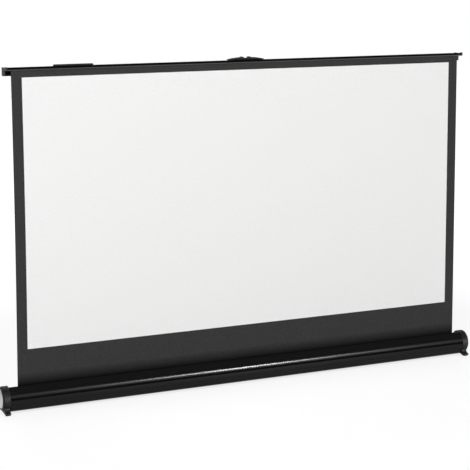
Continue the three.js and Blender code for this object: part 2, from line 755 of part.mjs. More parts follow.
function roundedPlate(halfLength, low, high, corner) {
  const plate = new THREE.Shape();
  plate.moveTo(-halfLength + corner, low);
  plate.lineTo(halfLength - corner, low);
  plate.quadraticCurveTo(halfLength, low, halfLength, low + corner);
  plate.lineTo(halfLength, high - corner);
  plate.quadraticCurveTo(halfLength, high, halfLength - corner, high);
  plate.lineTo(-halfLength + corner, high);
  plate.quadraticCurveTo(-halfLength, high, -halfLength, high - corner);
  plate.lineTo(-halfLength, low + corner);
  plate.quadraticCurveTo(-halfLength, low, -halfLength + corner, low);
  return plate;
}

function pivotPlate(below, above) {
  const outline = roundedPlate(bracketLength / 2, -below, above, bracketCorner);
  const cuts = bracketScrewXs.flatMap((x) => [
    rodOnY(bracketScrewRadius + seatGap, bracketFrontY - cutOverrun, bracketBackY + cutOverrun, x, 0),
    rodOnY(bracketScrewHeadRadius + seatGap, bracketBackY - bracketScrewHeadThickness - seatGap,
      bracketBackY + cutOverrun, x, 0),
  ]);
  cuts.push(rodOnY(pinRadius + seatGap, bracketFrontY - cutOverrun, bracketBackY + cutOverrun, 0, 0));
  return joinAndCut([alongY(outline, bracketFrontY, bracketBackY)], cuts);
}

function pivotNut(height) {
  const half = height / 2 - seatGap;
  const cuts = bracketScrewXs.map((x) => rodOnY(bracketScrewRadius + seatGap,
    nutFrontY - cutOverrun, nutBackY + cutOverrun, x, 0));
  cuts.push(rodOnY(pinRadius + seatGap, nutFrontY - cutOverrun, nutBackY + cutOverrun, 0, 0));
  return joinAndCut([box([-nutLength / 2, nutFrontY, -half], [nutLength / 2, nutBackY, half])], cuts);
}

function bracketScrew(x) {
  const seat = bracketBackY - bracketScrewHeadThickness;
  return turnedOnY([[0, nutFrontY], [bracketScrewRadius, nutFrontY], [bracketScrewRadius, seat],
    [bracketScrewHeadRadius, seat], [bracketScrewHeadRadius, bracketBackY], [0, bracketBackY]])
    .translate(x, 0, 0);
}

// A headed pin: its shank starts at frontY and its head seats behind the arm at headY
function headedPin(frontY, headY) {
  const seat = headY + seatGap;
  return turnedOnY([[0, frontY], [pinRadius, frontY], [pinRadius, seat], [headRadius, seat],
    [headRadius, seat + headThickness], [0, seat + headThickness]]);
}

function ring(outer, frontY, backY) {
  const bore = pinRadius + seatGap;
  return turnedOnY([[bore, frontY], [outer, frontY], [outer, backY], [bore, backY], [bore, frontY]]);
}

const plateBelowLower = lowerTrackZ - tableGap;
const lowerPivot = new THREE.Group();
lowerPivot.position.set(pivotX, 0, lowerTrackZ);
screen.add(lowerPivot);
addTo(lowerPivot, "lower_pivot_plate", pivotPlate(plateBelowLower, bracketBelow), paint.arm);
addTo(lowerPivot, "lower_pivot_nut", pivotNut(lowerTrackHeight), paint.steel);
addTo(lowerPivot, "lower_pivot_screw_outer", bracketScrew(bracketScrewXs[0]), paint.steel);
addTo(lowerPivot, "lower_pivot_screw_inner", bracketScrew(bracketScrewXs[1]), paint.steel);
addTo(lowerPivot, "lower_pivot_pin", headedPin(nutFrontY, armsBackY), paint.steel);
addTo(lowerPivot, "lower_pivot_bush", ring(bushRadius, bracketBackY + seatGap, rearArmY - seatGap), paint.nylon);

const upperPivot = new THREE.Group();
upperPivot.position.set(pivotX, 0, upperTrackZ);
screen.add(upperPivot);
addTo(upperPivot, "upper_pivot_plate",
  pivotPlate(bracketBelow, barTopZ - upperTrackZ + bracketTopProud), paint.arm);
addTo(upperPivot, "upper_pivot_nut", pivotNut(upperTrackHeight), paint.steel);
addTo(upperPivot, "upper_pivot_screw_outer", bracketScrew(bracketScrewXs[0]), paint.steel);
addTo(upperPivot, "upper_pivot_screw_inner", bracketScrew(bracketScrewXs[1]), paint.steel);
addTo(upperPivot, "upper_pivot_pin", headedPin(nutFrontY, frontArmY + armThickness), paint.steel);

// Crossed arms: flat bars with round ends, bored for their pins and for the rivet halfway
function flatArm(frontY) {
  const radius = armWidth / 2;
  const outline = new THREE.Shape();
  outline.moveTo(0, -radius);
  outline.lineTo(armLength, -radius);
  outline.absarc(armLength, 0, radius, -Math.PI / 2, Math.PI / 2);
  outline.lineTo(0, radius);
  outline.absarc(0, 0, radius, Math.PI / 2, 1.5 * Math.PI);
  for (const x of [0, armLength / 2, armLength]) {
    const bore = new THREE.Path();
    bore.absarc(x, 0, pinRadius + seatGap, 0, 2 * Math.PI, true);
    outline.holes.push(bore);
  }
  return alongY(outline, frontY, frontY + armThickness, armEndSteps);
}

const rivetFrontY = frontArmY - seatGap;
const rearArm = new THREE.Group();
rearArm.position.set(pivotX, 0, lowerTrackZ);
rearArm.rotation.y = -openAngle;
screen.add(rearArm);
addTo(rearArm, "arm_rear", flatArm(rearArmY), paint.arm);

function centreRivet() {
  const seat = armsBackY + seatGap;
  const profile = [[0, rivetFrontY - headThickness], [headRadius, rivetFrontY - headThickness],
    [headRadius, rivetFrontY], [pinRadius, rivetFrontY], [pinRadius, seat], [headRadius, seat],
    [headRadius, seat + headThickness], [0, seat + headThickness]];
  return turnedOnY(profile).translate(armLength / 2, 0, 0);
}

addTo(rearArm, "centre_rivet", centreRivet(), paint.steel);
addTo(rearArm, "centre_washer",
  ring(washerRadius, washerFrontY, washerFrontY + washerThickness).translate(armLength / 2, 0, 0), paint.nylon);

const frontArm = new THREE.Group();
frontArm.position.set(pivotX, 0, upperTrackZ);
frontArm.rotation.y = openAngle;
screen.add(frontArm);
addTo(frontArm, "arm_front", flatArm(frontArmY), paint.arm);

// Sliders: a nylon block that runs in the T-slot, with a neck out to its arm
const sliderLength = 26;
const stopLength = 12;

function sliderBlock(depth, height, neckBackY) {
  const half = sliderLength / 2;
  const headHalf = height / 2 - seatGap;
  const neckHalf = trackMouth / 2 - seatGap;
  const innerY = housingBack - trackLip - depth + seatGap;
  const head = box([-half, innerY, -headHalf], [half, housingBack - trackLip - seatGap, headHalf]);
  const neck = box([-half, innerY, -neckHalf], [half, housingBack + seatGap, neckHalf]);
  const boss = rodOnY(bushRadius, housingBack + seatGap, neckBackY, 0, 0);
  const bore = rodOnY(pinRadius + seatGap, innerY - cutOverrun, neckBackY + cutOverrun, 0, 0);
  return joinAndCut([head, neck, boss], [bore]);
}

function trackStop(depth, height) {
  const headHalf = height / 2 - seatGap;
  const neckHalf = trackMouth / 2 - seatGap;
  const innerY = housingBack - trackLip - depth + seatGap;
  const right = -sliderLength / 2 - seatGap;
  const left = right - stopLength;
  return joinAndCut([
    box([left, innerY, -headHalf], [right, housingBack - trackLip - seatGap, headHalf]),
    box([left, innerY, -neckHalf], [right, housingBack + seatGap, neckHalf]),
  ]);
}

const lowerSlider = new THREE.Group();
lowerSlider.position.set(sliderX, 0, lowerTrackZ);
screen.add(lowerSlider);
addTo(lowerSlider, "lower_slider_block",
  sliderBlock(lowerTrackDepth, lowerTrackHeight, frontArmY - seatGap), paint.nylon);
addTo(lowerSlider, "lower_slider_pin",
  headedPin(housingBack - trackLip - lowerTrackDepth + seatGap, frontArmY + armThickness), paint.steel);
addTo(lowerSlider, "lower_track_stop", trackStop(lowerTrackDepth, lowerTrackHeight), paint.nylon);

const upperSlider = new THREE.Group();
upperSlider.position.set(sliderX, 0, upperTrackZ);
screen.add(upperSlider);
addTo(upperSlider, "upper_slider_block",
  sliderBlock(upperTrackDepth, upperTrackHeight, rearArmY - seatGap), paint.nylon);
addTo(upperSlider, "upper_slider_pin",
  headedPin(housingBack - trackLip - upperTrackDepth + seatGap, armsBackY), paint.steel);
addTo(upperSlider, "upper_track_stop", trackStop(upperTrackDepth, upperTrackHeight), paint.nylon);

export default screen;
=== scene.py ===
import math

import bmesh
import bpy
from mathutils import Matrix, Vector


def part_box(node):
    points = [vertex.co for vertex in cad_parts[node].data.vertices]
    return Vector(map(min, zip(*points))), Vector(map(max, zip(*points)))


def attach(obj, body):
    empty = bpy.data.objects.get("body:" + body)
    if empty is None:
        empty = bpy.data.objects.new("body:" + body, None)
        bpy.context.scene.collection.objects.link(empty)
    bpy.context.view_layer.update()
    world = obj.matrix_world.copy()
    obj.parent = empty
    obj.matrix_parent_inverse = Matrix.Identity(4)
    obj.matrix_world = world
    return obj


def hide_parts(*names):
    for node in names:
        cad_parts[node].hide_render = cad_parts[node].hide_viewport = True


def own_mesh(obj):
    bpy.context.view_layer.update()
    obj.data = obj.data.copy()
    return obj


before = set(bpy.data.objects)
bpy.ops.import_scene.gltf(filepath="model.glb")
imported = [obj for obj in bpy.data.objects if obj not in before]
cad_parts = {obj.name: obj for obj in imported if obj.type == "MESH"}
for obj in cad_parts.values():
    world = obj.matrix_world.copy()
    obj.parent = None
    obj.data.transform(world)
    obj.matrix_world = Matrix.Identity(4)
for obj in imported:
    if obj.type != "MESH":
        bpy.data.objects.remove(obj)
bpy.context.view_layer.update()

# Camera
# It stands before the left end of the screen, a little above its top bar, and looks to the
# right and slightly down. The frame lies mostly below its axis.
PHOTO_SIZE = 470
FOCAL_LENGTH = 1440
AXIS_X = 258.0
AXIS_Y = 138.7
SENSOR = 36
LOOK_RIGHT = math.radians(23.95)
LOOK_DOWN = math.radians(7.39)
CAMERA_PLACE = (-1.3723, -3.1527, 1.0454)
camera_data = bpy.data.cameras.new("camera")
camera_data.sensor_width = SENSOR
camera_data.lens = FOCAL_LENGTH / PHOTO_SIZE * SENSOR
camera_data.shift_x = (PHOTO_SIZE / 2 - AXIS_X) / PHOTO_SIZE
camera_data.shift_y = (AXIS_Y - PHOTO_SIZE / 2) / PHOTO_SIZE
camera = bpy.data.objects.new("camera", camera_data)
camera.location = CAMERA_PLACE
camera.rotation_euler = (math.pi / 2 - LOOK_DOWN, 0, -LOOK_RIGHT)
bpy.context.scene.collection.objects.link(camera)
bpy.context.scene.camera = camera

# Housing
# One aluminium extrusion, black anodised, open along its top for the sheet and along its
# back for the arms' sliders. Its walls are 1.6 mm and a groove runs along its front.
housing_low, housing_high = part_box("housing")
SHEET_PLANE = -0.010
SLOT_WIDTH = 0.0044
LIP_WIDTH = 0.0018
LIP_DROP = 0.005
WALL = 0.0016
GROOVE_DEPTH = 0.0009
GROOVE_HEIGHT = 0.0052
GROOVE_SHARE = 0.545
TRACK_Z = 0.015
TRACK_HEIGHT = 0.010
TRACK_MOUTH = 0.005
TRACK_LIP = 0.0016
LOWER_TRACK_DEPTH = 0.006
SHOULDER_SHARE = (0.69, 0.882)
VALLEY_SHARE = (0.81, 0.8)
CROWN_SHARE = (1, 0.765)
BULGE_SHARE = (1, 0.6)
BAND_SHARE = (1, 0.46)
TUCK_SHARE = (0.93, 0.23)
TOE_SHARE = (0.55, 0)
HEEL_SHARE = 0.62
BACK_RISE_SHARE = (1, 0.738)
BACK_TURN_SHARE = (0.68, 0.846)
VALLEY_FILLET_SHARE = 0.93
VALLEY_FILLET_RISE = 0.002
CURVE_STEPS = 14
EDGE_ROUND = 0.00025
SMOOTH_CREASE = math.radians(28)
EDGE_CREASE = math.radians(35)
GRAIN_DETAIL = 4
DARK_TONE, LIGHT_TONE = 0.3, 0.7
FACE_MARGIN = 0.00005
slot_front = SHEET_PLANE - SLOT_WIDTH / 2
slot_back = SHEET_PLANE + SLOT_WIDTH / 2
housing_height = housing_high.z - housing_low.z


def bend(start, corner, end, steps=CURVE_STEPS):
    """The points after start of a curve that runs to end and is pulled to corner."""
    points = []
    for i in range(1, steps + 1):
        t = i / steps
        near, middle, far = (1 - t) ** 2, 2 * t * (1 - t), t * t
        points.append(tuple(near * a + middle * b + far * c for a, b, c in zip(start, corner, end)))
    return points


def housing_front(inset):
    """The front of the section from the lip down to the toe, as deep in the wall as inset.

    Each share is across from the origin to the front, and up from the base.
    """

    def at(across, up):
        y = (housing_low.y + inset) * across
        return y, housing_low.z + inset + (housing_height - 2 * inset) * up

    lip = (slot_front - LIP_WIDTH + inset / 2, at(0, 1)[1])
    shoulder, valley = at(*SHOULDER_SHARE), at(*VALLEY_SHARE)
    crown, bulge = at(*CROWN_SHARE), at(*BULGE_SHARE)
    band, tuck, toe = at(*BAND_SHARE), at(*TUCK_SHARE), at(*TOE_SHARE)
    fillet = (valley[0] * VALLEY_FILLET_SHARE, valley[1] + VALLEY_FILLET_RISE)
    points = [lip, shoulder]
    points += bend(shoulder, fillet, valley)
    points += bend(valley, crown, bulge)
    if inset == 0:
        groove = housing_low.z + housing_height * GROOVE_SHARE
        for y, z in ((0, 1), (GROOVE_DEPTH, 1), (GROOVE_DEPTH, -1), (0, -1)):
            points.append((housing_low.y + y, groove + z * GROOVE_HEIGHT / 2))
    points.append(band)
    points += bend(band, (band[0], tuck[1]), tuck)
    points += bend(tuck, (tuck[0], toe[1]), toe)
    return points


def housing_back(inset):
    """The upper back of the section, from the plane back up to the shelf."""

    def at(across, up):
        y = (housing_high.y - inset) * across
        return y, housing_low.z + inset + (housing_height - 2 * inset) * up

    rise, turn = at(*BACK_RISE_SHARE), at(*BACK_TURN_SHARE)
    return [rise] + bend(rise, (rise[0], turn[1]), turn)


def housing_outline():
    """The whole section, round the outside and then back along the inside of the walls."""
    back, base = housing_high.y, housing_low.z
    half, mouth = TRACK_HEIGHT / 2, TRACK_MOUTH / 2
    heel = (back * HEEL_SHARE, base)
    outline = [(slot_front, housing_high.z)] + housing_front(0) + [heel]
    outline += bend(heel, (back, base), (back, TRACK_Z - half))
    inside = back - TRACK_LIP
    deep = inside - LOWER_TRACK_DEPTH
    outline += [(back, TRACK_Z - mouth), (inside, TRACK_Z - mouth), (inside, TRACK_Z - half)]
    outline += [(deep, TRACK_Z - half), (deep, TRACK_Z + half), (inside, TRACK_Z + half)]
    outline += [(inside, TRACK_Z + mouth), (back, TRACK_Z + mouth)]
    outline += housing_back(0)
    shelf = outline[-1][1]
    lip_back = slot_back + LIP_WIDTH
    outline += [(slot_back, shelf), (slot_back, shelf - LIP_DROP), (lip_back, shelf - LIP_DROP)]
    inner_back = housing_back(WALL)
    outline += [(lip_back, inner_back[-1][1])] + inner_back[::-1]
    block, roof = deep - WALL, TRACK_Z + half + WALL
    outline += [(back - WALL, roof), (block, roof), (block, base + WALL)]
    inner_front = housing_front(WALL)[::-1]
    outline += inner_front[:-1]
    shoulder, lip = inner_front[-2], inner_front[-1]
    lip_front, lip_foot = slot_front - LIP_WIDTH, housing_high.z - LIP_DROP
    share = (lip_front - shoulder[0]) / (lip[0] - shoulder[0])
    outline.append((lip_front, shoulder[1] + (lip[1] - shoulder[1]) * share))
    outline += [(lip_front, lip_foot), (slot_front, lip_foot)]
    return outline


def extruded(name, outline, start, end, place=lambda a, b, t: (t, a, b)):
    """A closed outline pushed from start to end, by default a (y, z) outline along X."""
    mesh = bmesh.new()
    rings = [[mesh.verts.new(place(a, b, t)) for a, b in outline] for t in (start, end)]
    count = len(outline)
    for i in range(count):
        j = (i + 1) % count
        mesh.faces.new((rings[0][i], rings[0][j], rings[1][j], rings[1][i]))
    ends = [mesh.faces.new(rings[0][::-1]), mesh.faces.new(rings[1])]
    bmesh.ops.triangulate(mesh, faces=ends)
    return placed(name, mesh)


def placed(name, mesh):
    """An object made from a bmesh, faces out."""
    bmesh.ops.recalc_face_normals(mesh, faces=mesh.faces)
    data = bpy.data.meshes.new(name)
    mesh.to_mesh(data)
    mesh.free()
    piece = bpy.data.objects.new(name, data)
    bpy.context.scene.collection.objects.link(piece)
    return piece


def smooth(piece, crease=SMOOTH_CREASE):
    """Smooth shading, but for the edges that turn by more than the crease."""
    piece.data.shade_smooth()
    piece.data.set_sharp_from_angle(angle=crease)
    return piece


def rounded(piece, radius, segments=2):
    """The small radius that a die, a mould or a deburring leaves on each edge."""
    bevel = piece.modifiers.new("edges", "BEVEL")
    bevel.width = radius
    bevel.segments = segments
    bevel.limit_method = "ANGLE"
    bevel.angle_limit = EDGE_CREASE
    bevel.harden_normals = True
    return piece


def finish(name, dark, light, rough, scale, bump, depth, metal=0.0, grain=(1, 1, 1), level=0.5):
    """A finish whose colour, roughness and relief follow one fine noise, stretched by grain."""
    material = bpy.data.materials.new(name)
    material.use_nodes = True
    nodes, links = material.node_tree.nodes, material.node_tree.links
    shader = nodes["Principled BSDF"]
    shader.inputs["Metallic"].default_value = metal
    shader.inputs["Specular IOR Level"].default_value = level
    where = nodes.new("ShaderNodeTexCoord")
    stretch = nodes.new("ShaderNodeMapping")
    stretch.inputs["Scale"].default_value = grain
    noise = nodes.new("ShaderNodeTexNoise")
    noise.inputs["Scale"].default_value = scale
    noise.inputs["Detail"].default_value = GRAIN_DETAIL
    colours = nodes.new("ShaderNodeValToRGB")
    colours.color_ramp.elements[0].position = DARK_TONE
    colours.color_ramp.elements[1].position = LIGHT_TONE
    colours.color_ramp.elements[0].color = (*dark, 1)
    colours.color_ramp.elements[1].color = (*light, 1)
    spread = nodes.new("ShaderNodeMapRange")
    spread.inputs["To Min"].default_value = rough[0]
    spread.inputs["To Max"].default_value = rough[1]
    relief = nodes.new("ShaderNodeBump")
    relief.inputs["Strength"].default_value = bump
    relief.inputs["Distance"].default_value = depth
    links.new(where.outputs["Object"], stretch.inputs["Vector"])
    links.new(stretch.outputs["Vector"], noise.inputs["Vector"])
    links.new(noise.outputs["Fac"], colours.inputs["Fac"])
    links.new(noise.outputs["Fac"], spread.inputs["Value"])
    links.new(noise.outputs["Fac"], relief.inputs["Height"])
    links.new(colours.outputs["Color"], shader.inputs["Base Color"])
    links.new(spread.outputs["Result"], shader.inputs["Roughness"])
    links.new(relief.outputs["Normal"], shader.inputs["Normal"])
    return material


anodised = finish(
    "black anodised aluminium", (0.0035, 0.0036, 0.0038), (0.0065, 0.0066, 0.0068),
    rough=(0.238, 0.252), scale=2400, bump=0.02, depth=0.0001, grain=(0.0075, 1, 1), level=0.12)
matt_black = finish(
    "matt black anodised aluminium", (0.0035, 0.0036, 0.0037), (0.0065, 0.0066, 0.0067),
    rough=(0.6, 0.75), scale=900, bump=0.1, depth=0.0001, grain=(0.02, 1, 1), level=0.0)


def paint_where(piece, material, chosen):
    """Gives another finish to the faces whose middle is chosen."""
    piece.data.materials.append(material)
    for face in piece.data.polygons:
        if chosen(face.center):
            face.material_index = len(piece.data.materials) - 1


def stand_for(piece, node, body, material):
    """Gives a piece its finish, lets it ride on a body and puts it in place of a CAD node."""
    piece.data.materials.clear()
    piece.data.materials.append(material)
    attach(piece, body)
    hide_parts(node)


def in_groove(middle):
    """Whether a point lies on the floor or a side of the front groove."""
    groove_z = housing_low.z + housing_height * GROOVE_SHARE
    level = abs(middle.z - groove_z) < GROOVE_HEIGHT / 2 + FACE_MARGIN
    return level and 0 < middle.y - housing_low.y < GROOVE_DEPTH + FACE_MARGIN


housing = extruded("housing_casing", housing_outline(), housing_low.x, housing_high.x)
stand_for(housing, "housing", "base", anodised)
paint_where(housing, matt_black, in_groove)
rounded(smooth(housing), EDGE_ROUND)

# End caps
# Each is one moulding in black plastic with a fine grain: a round cover with a soft rim, a
# shallow seat for its disc, and a foot that flares to the front and to the back.
CAP_RIM = 0.004
CAP_RADIUS = 0.028
CAP_CENTRE_Y = -0.003
CAP_CENTRE_Z = 0.033
DISC_RADIUS = 0.022
DISC_GAP = 0.0003
DISC_RECESS = 0.0012
FOOT_INSET = 0.0013
FOOT_WIDTH = 0.0126
FOOT_TOE = 0.0044
FOOT_WAIST_SHARE = 0.8
FOOT_ROUND = 0.0012
CAP_LEAD = FOOT_ROUND / 3
CAP_ARC_STEPS = 72
FOOT_STEPS = 12
TOE_STEPS = 6
ROUND_STEPS = 5
CAP_CREASE = math.radians(40)
SAME_POINT = 1e-7
moulded = finish(
    "black moulded plastic", (0.003, 0.0031, 0.0032), (0.017, 0.0172, 0.0176),
    rough=(0.35, 0.6), scale=230, bump=0.3, depth=0.00025, level=0.14)


def on_cover(angle):
    """A point on the edge of the round cover, as (y, z)."""
    across = CAP_CENTRE_Y + CAP_RADIUS * math.cos(angle)
    return across, CAP_CENTRE_Z + CAP_RADIUS * math.sin(angle)


def foot_outlines(sole, reach):
    """Pairs of points round a cap: on the round cover, and on the outline with the foot."""
    waist = CAP_RADIUS * FOOT_WAIST_SHARE
    drop = math.sqrt(CAP_RADIUS ** 2 - waist ** 2)
    meet = math.atan2(-drop, waist)
    pairs = []
    for i in range(CAP_ARC_STEPS + 1):
        point = on_cover(meet + (math.pi - 2 * meet) * i / CAP_ARC_STEPS)
        pairs.append((point, point))
    meet_z = CAP_CENTRE_Z - drop
    front, rear = CAP_CENTRE_Y - waist, CAP_CENTRE_Y + waist
    toe, edge = sole + FOOT_TOE, sole + FOOT_TOE / 2
    foot = bend((front, meet_z), (front, toe), (-reach + FOOT_TOE / 2, toe), FOOT_STEPS)
    foot += bend(foot[-1], (-reach, toe), (-reach, edge), TOE_STEPS)
    foot += [(-reach, sole)]
    foot += [(-reach + 2 * reach * (i + 1) / (FOOT_STEPS + 1), sole) for i in range(FOOT_STEPS)]
    foot += [(reach, sole), (reach, edge)]
    foot += bend((reach, edge), (reach, toe), (reach - FOOT_TOE / 2, toe), TOE_STEPS)
    foot += bend((reach - FOOT_TOE / 2, toe), (rear, toe), (rear, meet_z), FOOT_STEPS)[:-1]
    for i, point in enumerate(foot):
        angle = math.pi - meet + (math.pi + 2 * meet) * (i + 1) / (len(foot) + 1)
        pairs.append((on_cover(angle), point))
    return pairs


def end_cap(side, name):
    """Rings from the housing outwards: the foot, the round rim, and the seat of the disc."""
    low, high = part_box(name)
    inner = min(abs(low.x), abs(high.x))
    outer = max(abs(low.x), abs(high.x))
    pairs = foot_outlines(low.z, high.y)
    centre = Vector((CAP_CENTRE_Y, CAP_CENTRE_Z))

    def toward(point, length):
        way = Vector(point) - centre
        return centre + way * (length / way.length)

    def eased(angle):
        return FOOT_ROUND * (1 - math.cos(angle))

    rings = [(inner, [toward(p, CAP_RADIUS - CAP_LEAD) for p, _ in pairs])]
    rings.append((inner + CAP_LEAD, [Vector(p) for p, _ in pairs]))
    near, far = inner + FOOT_INSET, inner + FOOT_INSET + FOOT_WIDTH
    quarter = [math.pi / 2 * i / ROUND_STEPS for i in range(ROUND_STEPS + 1)]
    stations = [(near, 0.0)] + [(near + eased(a), math.sin(a)) for a in quarter]
    stations += [(far - eased(a), math.sin(a)) for a in quarter[::-1]] + [(far, 0.0)]
    last = len(stations) - 1
    for i, (x, full) in enumerate(stations):
        ring = []
        for p, q in pairs:
            way = Vector(q) - Vector(p)
            if i in (0, last):
                ring.append(Vector(p))
            elif way.length < FOOT_ROUND:
                ring.append(Vector(q))
            else:
                ring.append(Vector(q) - way.normalized() * FOOT_ROUND * (1 - full))
        rings.append((x, ring))
    rim = [math.pi / 2 * i / (2 * ROUND_STEPS) for i in range(2 * ROUND_STEPS + 1)]
    for a in rim:
        x = outer - CAP_RIM + CAP_RIM * math.sin(a)
        radius = CAP_RADIUS - CAP_RIM + CAP_RIM * math.cos(a)
        rings.append((x, [toward(p, radius) for p, _ in pairs]))
    seat = DISC_RADIUS + DISC_GAP
    rings.append((outer, [toward(p, seat) for p, _ in pairs]))
    rings.append((outer - DISC_RECESS, [toward(p, seat) for p, _ in pairs]))
    mesh = bmesh.new()
    made = [[mesh.verts.new((side * x, p.x, p.y)) for p in ring] for x, ring in rings]
    count = len(pairs)
    for low_ring, high_ring in zip(made, made[1:]):
        for i in range(count):
            j = (i + 1) % count
            mesh.faces.new((low_ring[i], low_ring[j], high_ring[j], high_ring[i]))
    mesh.faces.new(made[0])
    mesh.faces.new(made[-1])
    bmesh.ops.remove_doubles(mesh, verts=mesh.verts, dist=SAME_POINT)
    bmesh.ops.dissolve_degenerate(mesh, edges=mesh.edges, dist=SAME_POINT)
    return placed(name.replace("end_cap", "end_cover"), mesh)


for side, hand in ((-1, "left"), (1, "right")):
    cap = smooth(end_cap(side, f"end_cap_{hand}"), CAP_CREASE)
    stand_for(cap, f"end_cap_{hand}", "base", moulded)

# Cap discs
# A thin aluminium disc is pressed into the seat of each end cap. Its face is a little
# crowned and spun with fine rings, and it carries nothing.
DISC_SIDES = 128
DISC_CROWN = 0.0006
DISC_EDGE = 0.0003
SPUN_PITCH = 0.0006
SPUN_RELIEF = 0.12
SPUN_WOBBLE = 1.5
SPUN_DETAIL = 3
spun = finish(
    "spun silver aluminium", (0.30, 0.305, 0.31), (0.62, 0.625, 0.63),
    rough=(0.26, 0.4), scale=45, bump=0.05, depth=0.00005, metal=1.0)


def add_rings(material):
    """Fine rings about the caps' axis, over the relief that the finish has already."""
    nodes, links = material.node_tree.nodes, material.node_tree.links
    where = nodes.new("ShaderNodeTexCoord")
    centre = nodes.new("ShaderNodeMapping")
    centre.inputs["Location"].default_value = (0, -CAP_CENTRE_Y, -CAP_CENTRE_Z)
    rings = nodes.new("ShaderNodeTexWave")
    rings.wave_type = "RINGS"
    rings.rings_direction = "X"
    rings.inputs["Scale"].default_value = 1 / SPUN_PITCH
    rings.inputs["Distortion"].default_value = SPUN_WOBBLE
    rings.inputs["Detail"].default_value = SPUN_DETAIL
    relief = nodes.new("ShaderNodeBump")
    relief.inputs["Strength"].default_value = SPUN_RELIEF
    relief.inputs["Distance"].default_value = SPUN_PITCH / 4
    links.new(where.outputs["Object"], centre.inputs["Vector"])
    links.new(centre.outputs["Vector"], rings.inputs["Vector"])
    links.new(rings.outputs["Fac"], relief.inputs["Height"])
    links.new(nodes["Bump"].outputs["Normal"], relief.inputs["Normal"])
    links.new(relief.outputs["Normal"], nodes["Principled BSDF"].inputs["Normal"])


add_rings(spun)


def turned(name, profile, sides, axis="Y"):
    """A (radius, place) profile turned round the Y or the X axis, closed where radius is 0."""
    mesh = bmesh.new()
    rings = []
    for radius, place in profile:
        if radius == 0:
            rings.append([mesh.verts.new((place, 0, 0) if axis == "X" else (0, place, 0))])
            continue
        ring = []
        for i in range(sides):
            angle = 2 * math.pi * i / sides
            a, b = radius * math.cos(angle), radius * math.sin(angle)
            ring.append(mesh.verts.new((place, a, b) if axis == "X" else (a, place, b)))
        rings.append(ring)
    closes = profile[0][0] > 0
    for near, far in zip(rings, rings[1:] + rings[:1] if closes else rings[1:]):
        for i in range(sides):
            j = (i + 1) % sides
            corners = ((near, i), (near, j), (far, j), (far, i))
            unique = list(dict.fromkeys(loop[k % len(loop)] for loop, k in corners))
            if len(unique) > 2:
                mesh.faces.new(unique)
    return placed(name, mesh)


for side, hand in ((-1, "left"), (1, "right")):
    low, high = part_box(f"cap_disc_{hand}")
    inner, outer = sorted((abs(low.x), abs(high.x)))
    flat, face = outer - DISC_CROWN, DISC_RADIUS - DISC_EDGE
    profile = [(0, inner), (DISC_RADIUS, inner), (DISC_RADIUS, flat - DISC_EDGE), (face, flat)]
    for i in range(1, CURVE_STEPS + 1):
        share = i / CURVE_STEPS
        profile.append((face * (1 - share), flat + DISC_CROWN * (1 - (1 - share) ** 2)))
    disc = turned(f"end_disc_{hand}", [(r, side * x) for r, x in profile], DISC_SIDES, "X")
    disc.data.transform(Matrix.Translation((0, CAP_CENTRE_Y, CAP_CENTRE_Z)))
    stand_for(smooth(disc), f"cap_disc_{hand}", "base", spun)

# Cap screws and foot pads
# Two zinc plated screws hold each cap to the housing's ports, under the disc. Each foot has
# a black rubber pad glued under its toe and its heel.
PAD_ROUND = 0.0004
WELD_GAP = 1e-6
zinc = finish(
    "zinc plated steel", (0.42, 0.43, 0.45), (0.52, 0.53, 0.54),
    rough=(0.25, 0.4), scale=700, bump=0.08, depth=0.00008, metal=1.0)
rubber = finish(
    "black rubber", (0.008, 0.008, 0.0083), (0.014, 0.014, 0.0144),
    rough=(0.7, 0.85), scale=1800, bump=0.3, depth=0.0002, level=0.25)


def dress(name, material, radius=0.0):
    """Gives a CAD node its finish, and where asked the small radius on its edges."""
    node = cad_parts[name]
    node.data.materials.clear()
    node.data.materials.append(material)
    if radius:
        weld = node.modifiers.new("weld", "WELD")
        weld.merge_threshold = WELD_GAP
        rounded(node, radius)


for hand in ("left", "right"):
    for end in ("front", "rear"):
        dress(f"cap_screw_{end}_{hand}", zinc)
        dress(f"foot_pad_{end}_{hand}", rubber, PAD_ROUND)

# Roller
# A drawn aluminium tube lies the length of the housing on two nylon plugs. The left plug
# turns on a pin, the right one on a fixed spindle whose spring pulls the sheet in.
drawn = finish(
    "drawn aluminium tube", (0.40, 0.405, 0.41), (0.50, 0.505, 0.51),
    rough=(0.3, 0.45), scale=600, bump=0.1, depth=0.0001, metal=1.0, grain=(0.02, 1, 1))
nylon = finish(
    "natural nylon", (0.62, 0.61, 0.57), (0.70, 0.69, 0.65),
    rough=(0.42, 0.55), scale=900, bump=0.15, depth=0.0001)
dress("roller_tube", drawn)
for name in ("roller_plug_left", "roller_plug_right", "spring_collar"):
    dress(name, nylon)
for name in ("idler_pin", "spring_spindle", "roller_spring"):
    dress(name, zinc)

# Sheet
# One vinyl coated cloth, white in front with printed black borders and black behind. It is
# wound on the roller, leaves the slot straight up and is held in the bar by its hem rod.
WHITE_WIDTH = 1.107
WHITE_BOTTOM = 0.1444
WHITE_TOP = 0.7674
CLOTH = 0.00036
BELLY = 0.002
WAIST = 0.001
LAP = 0.0494
LAP_GAP = 0.00004
SCARF = 0.012
LOWER_SHORT = 0.001
# Painted shade on the black border: its colour falls to this share at the slot, and is full from
# the top height up.
PAINTED_SHADE_LEAST = 0.04
PAINTED_SHADE_TOP = 0.089
WEAVE_SCALE = 320
WEAVE_WOBBLE = 0.4
WEAVE_RELIEF = 0.06
WEAVE_DEPTH = 0.00006
SHEET_COLUMNS = 24
SHEET_ROWS = 40
BORDER_ROWS = 8
UPPER_ROWS = 3
WOUND_TURNS = 2
WOUND_STEPS = 72
WOUND_FILL = 0.8
WHITE, BORDER, BACK = 0, 1, 2
tube_low, tube_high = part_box("roller_tube")
wound_low, wound_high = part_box("roller_wound_sheet")
sheet_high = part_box("screen_sheet")[1]
roller_y = (tube_low.y + tube_high.y) / 2
roller_z = (tube_low.z + tube_high.z) / 2
